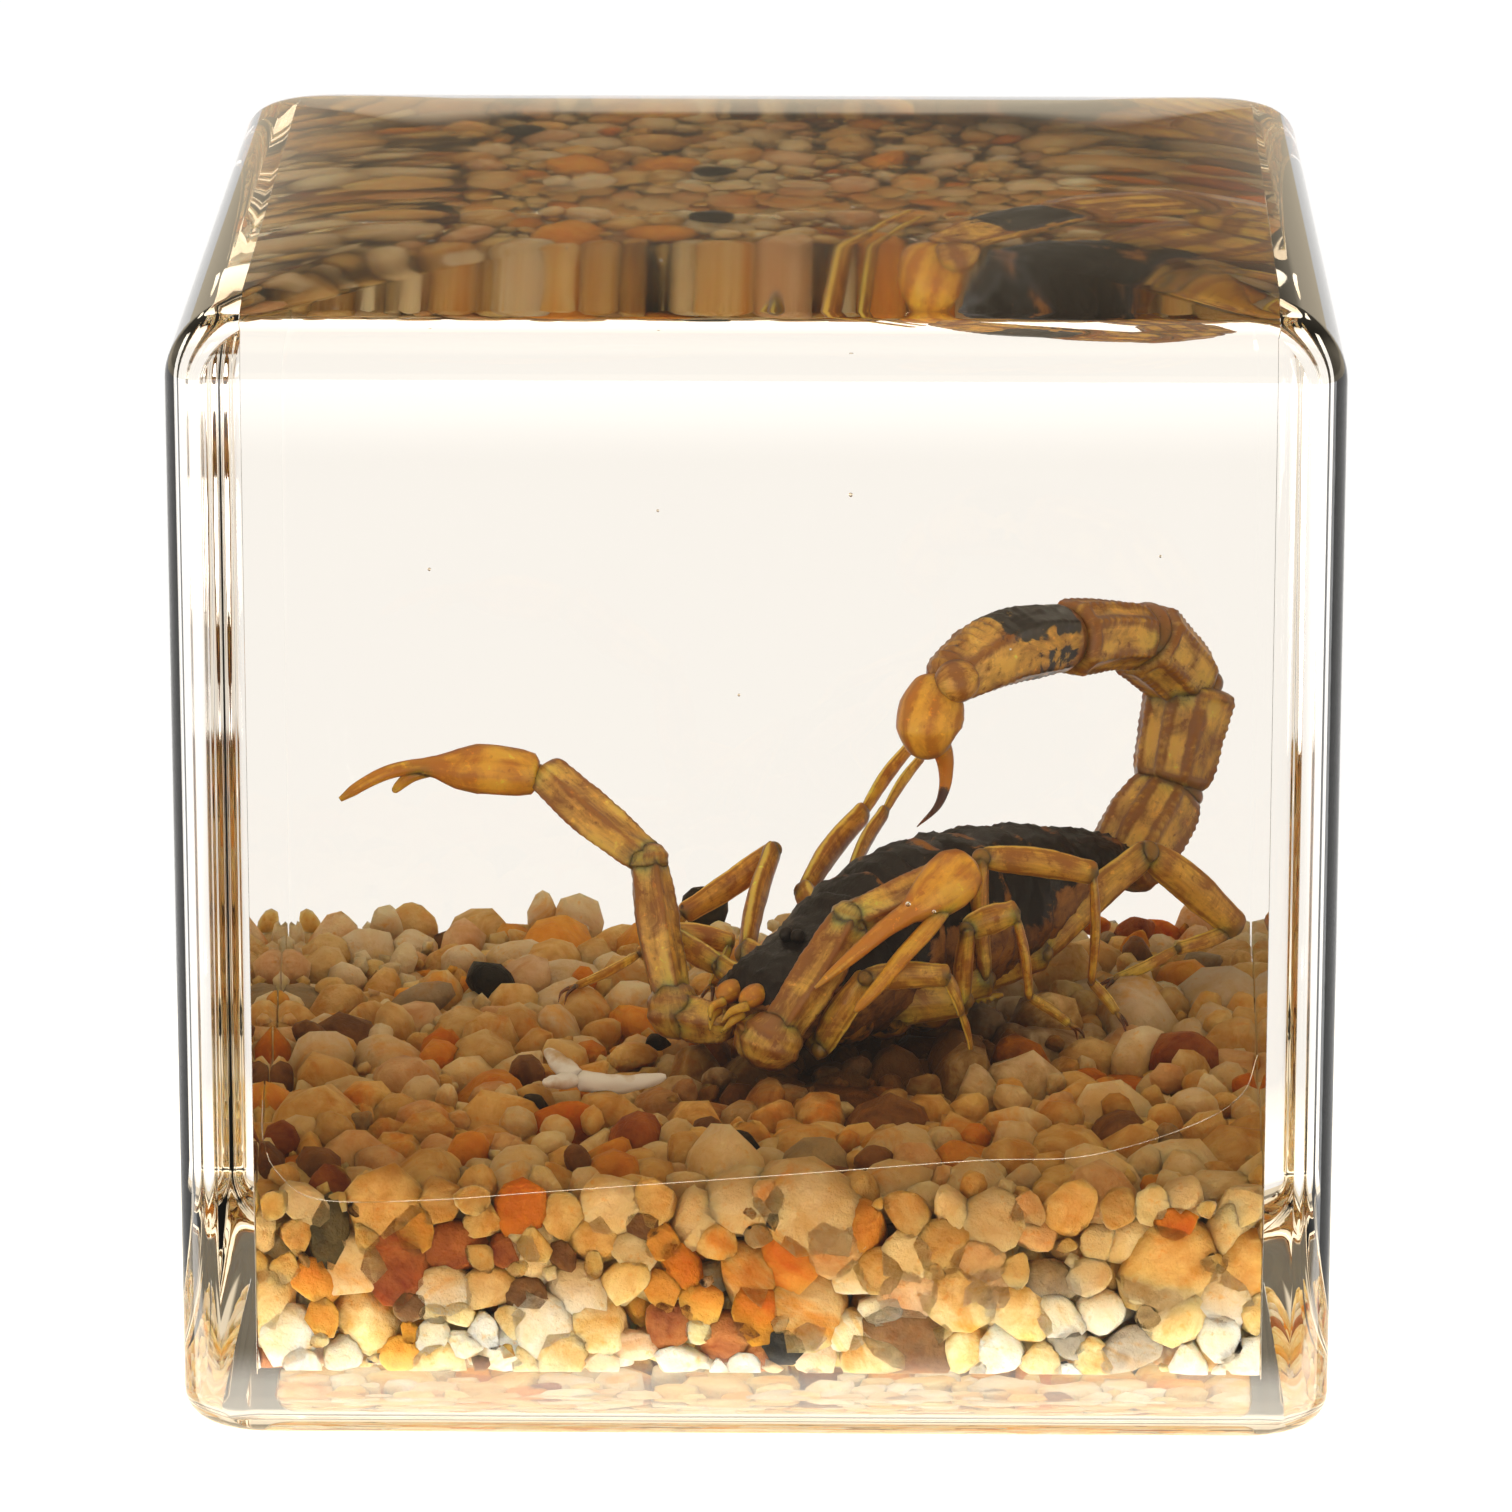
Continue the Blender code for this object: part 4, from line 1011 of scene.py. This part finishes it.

# ------------------------------------------------------------------------------- scorpion legs
# Four pairs of thin walking legs, jointed tubes pressed flat, tan and half clear, with a thin edge painted
# bright for the light that glows through it, and a brown line beside it. Each ends in a pair of small dark
# hooks.

# each leg: its joints from hip to tip, and the half width of each part between them
LEGS = {
    "near_leg_1": (
        ((1.6, -3.2, 13.4), (2.4, -4.6, 12.6), (4.2, -5.6, 15.7), (7.3, -5.4, 15.8), (7.9, -4.4, 14.1),
         (8.3, -3.2, 12.3)),
        (0.6, 0.55, 0.52, 0.3, 0.22),
    ),
    "near_leg_2": (
        ((4.4, -1.6, 13.6), (8.0, -1.0, 13.9), (8.2, -1.8, 17.0), (10.0, -1.9, 17.7), (10.6, -0.7, 14.0),
         (12.2, 0.3, 12.7)),
        (0.8, 0.62, 0.55, 0.33, 0.22),
    ),
    "near_leg_3": (
        ((6.3, 0.2, 13.9), (8.9, 0.9, 14.4), (8.7, -0.1, 19.6), (13.1, 1.4, 18.7), (13.1, 2.4, 14.0),
         (14.1, 2.2, 12.8)),
        (0.85, 0.6, 0.55, 0.33, 0.22),
    ),
    "near_leg_4": (
        ((8.0, 2.0, 14.2), (11.1, 4.0, 14.9), (15.35, 7.0, 18.5), (18.95, 8.4, 15.1), (16.6, 7.0, 14.5),
         (14.1, 5.6, 13.5)),
        (0.9, 0.72, 0.7, 0.33, 0.24),
    ),
    "far_leg_1": (
        ((0.6, -2.2, 14.2), (-1.6, 0.4, 15.0), (-3.6, 1.2, 16.2), (-1.2, 1.6, 15.7), (-1.9, 0.6, 14.2)),
        (0.6, 0.5, 0.48, 0.26),
    ),
    "far_leg_2": (
        ((2.0, 0.0, 14.4), (-0.6, 4.0, 14.8), (0.45, 8.0, 18.35), (-3.1, 8.0, 15.7), (-4.9, 7.5, 14.1),
         (-7.4, 6.2, 13.0)),
        (0.78, 0.66, 0.5, 0.3, 0.2),
    ),
    "far_leg_3": (
        ((3.2, 1.6, 14.8), (1.7, 6.0, 17.0), (4.05, 10.5, 19.45), (5.95, 13.0, 21.8)),
        (0.78, 0.6, 0.34),
    ),
    "far_leg_4": (
        ((5.2, 3.6, 15.2), (3.6, 7.0, 17.7), (4.9, 10.0, 19.6), (6.4, 12.2, 21.5)),
        (0.6, 0.4, 0.26),
    ),
}
HOOKLESS = ("far_leg_3", "far_leg_4")  # their tips lie behind the sting
LIMB_SHAPE = (
    (0, 0.25), (0.02, 0.5), (0.07, 0.76), (0.18, 0.92), (0.38, 1.02), (0.6, 1.0), (0.82, 0.86),
    (0.93, 0.84), (0.98, 0.66), (1, 0.3),
)
UPRIGHT = 0.9  # a part steeper than this is measured across X instead of Z
HIPS = ((2.6, 1.6, 0.85), (4.3, 1.7, 0.9), (6.4, 1.8, 0.95), (8.6, 1.8, 0.95))  # back, side, half width


def lens(angle, power=1.7):
    """A cross-section with keen upper and lower edges, as its power is below 2."""
    c, s = math.cos(angle), math.sin(angle)
    reach = (abs(c) ** power + abs(s) ** power) ** (-1 / power)
    return c * reach, s * reach


def leg_relief(seed):
    def relief(t, angle):
        keen = abs(math.sin(angle))
        # painted highlight: the keen upper and lower edges are painted pale, for the light that glows through
        # them
        glow_rim = step(keen, 0.93, 0.985)
        line = hump(keen, 0.86, 0.06)
        ring_mark = max(hump(t, 0.05, 0.035), hump(t, 0.95, 0.03))
        spot = on_skin(t, angle, 6, 1.5, seed)
        dent = 0.05 * noise.noise(spot) + 0.03 * noise.noise(spot * 3)
        sunk = -0.07 * hump(keen, 0.3, 0.4) * step(t, 0.1, 0.3) * step(1 - t, 0.1, 0.3)
        ridge = 0.25 + 0.5 * noise.noise(spot * 0.8) + 0.55 * line - 0.9 * glow_rim + 0.8 * ring_mark
        return 1 + dent + sunk + 0.05 * ring_mark, ridge, 0.3 * ring_mark

    return relief


def upward(run):
    """The side of a limb's part that is measured as its height."""
    return Vector((0, 0, 1)) if abs(run.z) < UPRIGHT else Vector((1, 0, 0))


def leg_part(bm, start, end, half, seed):
    """One part of a leg, a little bowed, from joint to joint."""
    run = end - start
    ahead = run.normalized()
    bow = run.cross(Vector((0.3, 0.9, 0.2))).normalized() * run.length * 0.03
    past = ahead * half * 0.35
    width, height = sized(LIMB_SHAPE, half * 0.62), sized(LIMB_SHAPE, half * 1.08)
    if abs(ahead.z) >= UPRIGHT:
        width, height = height, width
    path = (start - past, (start + end) / 2 + bow, end + past)
    tube(bm, path, width, height, upward(ahead), 36, 36, leg_relief(seed), lens)


def leg_claws(bm, tip, heading):
    """Two small hooks at the end of a leg, curved down."""
    side = heading.cross(Vector((0, 0, 1))).normalized()
    for out in (side, -side):
        path = (
            tip, tip + heading * 0.3 + out * 0.16, tip + heading * 0.6 + out * 0.26 - Vector((0, 0, 0.08)),
            tip + heading * 0.72 + out * 0.28 - Vector((0, 0, 0.42)),
        )
        size = ((0, 0.1), (0.3, 0.09), (0.7, 0.055), (1, 0.012))
        tube(bm, path, size, size, (0, 0, 1), 10, 14, lambda t, angle: (1.0, 1.0, 0.3 + t))


def comb_teeth(t, angle):
    return 1 + 0.25 * math.sin(t * 2 * math.pi * 12) * max(-math.sin(angle), 0), 0.2, 0.0


bm = bmesh.new()
for number, (name, (joints, halves)) in enumerate(LEGS.items()):
    joints = [Vector(joint) for joint in joints]
    for i, half in enumerate(halves):
        leg_part(bm, joints[i], joints[i + 1], half, number * 7 + i)
        if i:
            size = min(half, halves[i - 1]) * 0.72
            ahead = (joints[i + 1] - joints[i - 1]).normalized() * size
            bulb(bm, joints[i] - ahead, joints[i] + ahead, size, 16, 12, plain(1, 0.9, 0.15))
    if name not in HOOKLESS:
        leg_claws(bm, joints[-1], (joints[-1] - joints[-2]).normalized())
for back, side, half in HIPS:  # side by side under the carapace
    for sign in (1, -1):
        inner = body_point(back - 0.3, 0.3 * sign, 12.95)
        outer = body_point(back, (side + 0.9) * sign, 13.5)
        bulb(bm, inner, outer, half, 28, 24, lambda t, angle: (1 + 0.03 * math.sin(t * 19), 1.0, 0.32))
for side in (1, -1):  # the combs under the body
    root, tip = body_point(9.6, 0.3 * side, 13.3), body_point(11.6, 2.7 * side, 13.5)
    tube(
        bm, (root, (root + tip) / 2 + Vector((0, 0, -0.1)), tip),
        ((0, 0.2), (0.1, 0.5), (0.8, 0.4), (1, 0.12)), ((0, 0.1), (0.1, 0.26), (0.8, 0.2), (1, 0.08)),
        (0, 0, 1), 20, 64, comb_teeth,
    )
legs = finished("scorpion_legs", bm, limb_chitin)

# ------------------------------------------------------------------------------- pincer arms
# The two pincers: a knob at the root, an angular upper arm and forearm with dark beaded keels, a
# swollen hand, and long plain fingers. The near hand points back down; the far arm reaches out left.

# each arm, near then far: its joints from root to wrist, the half width of each part, and of its knob
ARMS = (
    (
        ((-0.3, -4.6, 13.4), (0.45, -5.55, 13.05), (3.5, -4.5, 17.9), (7.5, -3.1, 19.6)),
        (1.0, 0.98, 0.92), 1.22,
    ),
    (
        ((-1.2, -3.4, 13.4), (-3.35, -2.1, 13.6), (-4.4, -0.4, 19.5), (-8.5, 1.5, 22.7)),
        (0.95, 0.9, 0.95), 1.08,
    ),
)
ARM_SHAPE = (
    (0, 0.3), (0.02, 0.6), (0.06, 0.78), (0.15, 0.88), (0.4, 1.0), (0.62, 1.03), (0.82, 0.93),
    (0.93, 0.9), (0.98, 0.72), (1, 0.35),
)
ARM_KEELS = 5
WRIST = Vector((-8.75, 1.55, 22.66))
NEAR_HAND = (
    (8.3, -3.7, 20.05), (7.7, -4.15, 19.65), (7.0, -4.7, 19.1), (6.3, -5.2, 18.65), (5.6, -5.7, 18.25),
    (4.9, -6.2, 17.85), (4.2, -6.6, 17.3), (3.2, -7.1, 16.5), (2.2, -7.55, 15.7),
)
NEAR_HAND_HALF = (
    (0, 0.4), (0.04, 0.86), (0.12, 1.12), (0.2, 1.14), (0.3, 0.98), (0.38, 0.72), (0.46, 0.46),
    (0.6, 0.38), (0.8, 0.3), (0.93, 0.19), (1, 0.06),
)
FAR_HAND = (
    (-8.75, 1.55, 22.62), (-9.8, 1.45, 22.75), (-10.9, 1.35, 22.88), (-11.9, 1.2, 22.9),
    (-12.9, 1.0, 23.02), (-13.8, 0.9, 23.0), (-14.7, 0.65, 22.82), (-15.6, 0.3, 22.42), (-16.5, 0.0, 21.85),
)
FAR_HAND_HALF = (
    (0, 0.55), (0.02, 0.82), (0.08, 0.93), (0.2, 1.0), (0.28, 1.0), (0.38, 0.8), (0.48, 0.46),
    (0.55, 0.34), (0.65, 0.3), (0.8, 0.27), (0.93, 0.22), (1, 0.1),
)
# the movable finger of each hand: its path and half width
FINGERS = (
    (
        ((7.45, -4.75, 18.75), (6.6, -5.6, 17.75), (5.6, -6.35, 16.75), (4.7, -6.95, 15.7),
         (3.75, -7.4, 14.7)),
        0.36,
    ),
    (((-12.9, 1.1, 22.85), (-13.6, 1.0, 22.7), (-14.05, 0.95, 22.4), (-14.45, 0.9, 22.0)), 0.27),
)
FINGER_SHAPE = ((0, 0.5), (0.05, 0.9), (0.3, 1.0), (0.6, 0.9), (0.85, 0.7), (0.96, 0.5), (1, 0.2))
TOOTH_SHAPE = ((0, 0.22), (0.5, 0.17), (1, 0.03))


def prism(turn):
    """A cross-section with a flat side between each two keels and softened corners."""

    def section(angle):
        wedge = math.pi / ARM_KEELS
        off = (angle - turn) % (2 * wedge) - wedge
        reach = 0.25 + 0.75 * math.cos(wedge) / math.cos(off)
        return math.cos(angle) * reach, math.sin(angle) * reach

    return section


def arm_relief(seed, turn):
    def relief(t, angle):
        wedge = 2 * math.pi / ARM_KEELS
        off = (angle - turn) % wedge
        near = min(off, wedge - off)
        keel = hump(near, 0, 0.11)
        beads = 0.5 + 0.5 * math.sin(t * 2 * math.pi * 17)
        spot = on_skin(t, angle, 4, 1.6, seed)
        folds = 0.05 * noise.noise(spot) + 0.035 * noise.noise(spot * 2.6)
        crease = 0.04 * math.sin(t * 26 + 3 * math.cos(angle)) * hump(t, 0.12 if seed % 5 > 1 else 0.9, 0.12)
        ends = max(hump(t, 0.03, 0.03), hump(t, 0.97, 0.03))
        sunk = -0.07 * step(near, 0.15, 0.5) * step(t, 0.08, 0.2) * step(1 - t, 0.08, 0.2)
        lift = 0.06 * keel * (0.5 + 0.5 * beads) + folds + crease + sunk
        ridge = 0.1 + 0.85 * keel + 0.5 * ends + 0.7 * noise.noise(spot * 0.9)
        return 1 + lift, ridge, 0.25 * ends + 0.2 * keel * beads

    return relief


def palm_relief(t, angle):
    stripe = 0.5 + 0.5 * math.cos(angle * 9)
    blur = noise.noise(on_skin(t, angle, 8, 1.5))
    return 1 + 0.02 * stripe + 0.02 * blur, 0.45 * stripe**4 + 0.7 * blur + 0.6 * step(t, 0.3, 0.5), 0.0


def wrinkled(t, angle):
    fold = math.sin(t * 22 + 2 * math.sin(angle))
    return 1 + 0.03 * fold, 0.3 + 0.15 * fold, 0


bm = bmesh.new()
for number, (joints, halves, knob_half) in enumerate(ARMS):
    joints = [Vector(joint) for joint in joints]
    for i, half in enumerate(halves):
        start, end = joints[i], joints[i + 1]
        run = (end - start).normalized()
        past = run * half * 0.25
        bow = run.cross(Vector((0, 1, 0))).normalized() * half * (0.12 if number else -0.1)
        size = sized(ARM_SHAPE, half)
        turn = 0.5 + i
        tube(
            bm, (start - past, (start + end) / 2 + bow, end + past), size, size, upward(run), 60, 64,
            arm_relief(number * 5 + i, turn), prism(turn),
        )
    knob, elbow = joints[1], joints[2]
    lean = (elbow - knob).normalized()
    bulb(bm, knob - lean * 1.15, knob + lean * 1.3, knob_half, 44, 36, wrinkled)
    bulb(bm, elbow - lean * 0.7, elbow + lean * 0.75, halves[2] * 0.86, 36, 28, wrinkled)
bulb(bm, WRIST - Vector((-0.5, 0.1, 0.3)), WRIST + Vector((-0.5, 0, 0.1)), 0.5, 24, 18, plain(1, 0.9, 0.2))
arms = finished("scorpion_arms", bm, tail_chitin)

bm = bmesh.new()
for path, tall, flat in ((NEAR_HAND, NEAR_HAND_HALF, 0.9), (FAR_HAND, FAR_HAND_HALF, 0.75)):
    tube(bm, path, sized(tall, flat), tall, (0, 0.2, 1), 56, 90, palm_relief)
for path, half in FINGERS:
    size = sized(FINGER_SHAPE, half)
    tube(
        bm, path, size, size, (0, 0.2, 1), 24, 44,
        lambda t, angle: (1.0, 0.1 + 0.3 * t + 0.2 * math.cos(angle * 2), 0.0),
    )
for side in (0.66, -0.66):  # the jaws: two round bulbs, each with a pair of little pincers
    bulb(bm, body_point(0.4, side, 15.0), body_point(-0.95, side, 14.6), 0.46, 32, 26, palm_relief)
    for drop, turn in ((0.0, 0.22), (0.42, -0.12)):
        tooth = [
            body_point(-0.8, side + turn, 14.5 - drop), body_point(-1.35, side * 0.85, 14.3 - drop),
            body_point(-1.7, side * 0.45, 13.85 - drop),
        ]
        tube(bm, tooth, TOOTH_SHAPE, TOOTH_SHAPE, (0, 0, 1), 14, 16, lambda t, angle: (1.0, 0.3, t - 0.45))
hands = finished("scorpion_hands", bm, claw_chitin)

for piece in (trunk, tail, sting, legs, arms, hands):
    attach(piece, "root")
    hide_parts("scorpion")

# ------------------------------------------------------------------------------- studio
# A pale floor that is lit round the block's foot, dark just in front of it, in a dim room with a low
# bright backdrop and a soft ceiling. The camera stands at the photo's angle and distance.

BACK_GLOW, UNDER_GLOW, ROUND_GLOW, FRONT_GLOW = 0.935, 2.1, 1.85, 5.0
FLOOR_GLOW = 4.0  # the floor's full strength, which its colours are shares of
BESIDE_GLOW, SHADE_GLOW = 3.6, 0.07
GLOW_REACH = 0.04  # metres from the block's middle to where the floor has its plain glow
FLOOR_HALF, FLOOR_DROP = 1.5, -0.0003  # in metres: half the floor's side, and its height
# the dark strip in front of the block: where it begins and ends along Y, and its half width, in metres
SHADE_START, SHADE_END, SHADE_HALF = (-0.034, -0.029), (-0.175, -0.200), (0.034, 0.070)
FRONT_EDGE = (-0.0216, -0.0224)  # the lit ring is stronger in front of this
ROOM, BACKDROP, CEILING, SIDES, FACING = 0.17, 0.7, 1.2, 0.9, 0.4


def lit(glow, tint=(1, 1, 1)):
    return tuple(part * glow / FLOOR_GLOW for part in tint)


white, tree, shader, place = new_material("lit_white")
x, y, _ = axes(tree, place)
aside = maths(tree, "ABSOLUTE", x)
reach = maths(tree, "MAXIMUM", aside, maths(tree, "ABSOLUTE", y))
ring = lit(ROUND_GLOW, (1, 0.94, 0.82))
glow = ramp(
    tree, maths(tree, "MULTIPLY", reach, 1 / GLOW_REACH),
    ((0.53, lit(UNDER_GLOW, (1, 0.8, 0.55))), (0.56, ring), (0.64, ring), (1.0, lit(BACK_GLOW))),
)
behind = ranged(tree, y, *SHADE_START, SHADE_GLOW, FLOOR_GLOW, smooth=True)
beside = ranged(tree, aside, *SHADE_HALF, 0.0, BESIDE_GLOW, smooth=True)
beyond = ranged(tree, y, *SHADE_END, 0.0, BESIDE_GLOW, smooth=True)
shown = maths(tree, "MAXIMUM", behind, maths(tree, "MAXIMUM", beyond, beside))
front = ranged(tree, y, *FRONT_EDGE, 1.0, FRONT_GLOW)
fill(
    shader, Base_Color=(0.1, 0.1, 0.1, 1), Roughness=0.8, Specular_IOR_Level=0.0, Emission_Color=glow,
    Emission_Strength=maths(tree, "MULTIPLY", front, shown),
)
white.cycles.emission_sampling = "NONE"  # what is inside gets its light through the resin's faces alone

mesh = bpy.data.meshes.new("pale_floor")
mesh.from_pydata(
    [(x * FLOOR_HALF, y * FLOOR_HALF, FLOOR_DROP) for x, y in ((-1, -1), (1, -1), (1, 1), (-1, 1))],
    [], [(0, 1, 2, 3)],
)
mesh.materials.append(white)
floor = bpy.data.objects.new("pale_floor", mesh)
bpy.context.scene.collection.objects.link(floor)

world = bpy.data.worlds.new("room")
bpy.context.scene.world = world
world.use_nodes = True
world.cycles.sampling_method = "NONE"
tree = world.node_tree
x, y, z = axes(tree, node(tree, "ShaderNodeTexCoord").outputs["Generated"])
strength = ROOM
for way, start, end, share in (
    (z, 0.20, 0.15, BACKDROP), (z, 0.66, 0.86, CEILING),
    (maths(tree, "ABSOLUTE", x), 0.40, 0.75, SIDES), (y, -0.10, -0.55, FACING),
):
    strength = maths(tree, "MULTIPLY_ADD", ranged(tree, way, start, end, smooth=True), share, strength)
fill(tree.nodes["Background"], (1.0, 0.86, 0.64, 1), strength)

AZIMUTH, ELEVATION, DISTANCE = math.radians(0.85), math.radians(16.2), 0.340
TARGET = Vector((-0.00029, 0.0, 0.0213))
PHOTO_SIDE, PHOTO_FOCUS = 1512, 8460  # in the photo's pixels
view = bpy.data.cameras.new("camera")
view.sensor_width = 36
view.lens = view.sensor_width * PHOTO_FOCUS / PHOTO_SIDE
view.clip_start = 0.01
camera = bpy.data.objects.new("camera", view)
level = math.cos(ELEVATION)
away = Vector((math.sin(AZIMUTH) * level, -math.cos(AZIMUTH) * level, math.sin(ELEVATION)))
camera.location = TARGET + away * DISTANCE
camera.rotation_euler = (-away).to_track_quat("-Z", "Y").to_euler()
bpy.context.scene.collection.objects.link(camera)
bpy.context.scene.camera = camera
bpy.context.scene.view_settings.view_transform = "Standard"
cycles = bpy.context.scene.cycles
cycles.max_bounces = 12
cycles.transmission_bounces = 11  # with fewer, the upright edges of the block turn black
cycles.diffuse_bounces = 2
cycles.glossy_bounces = 4
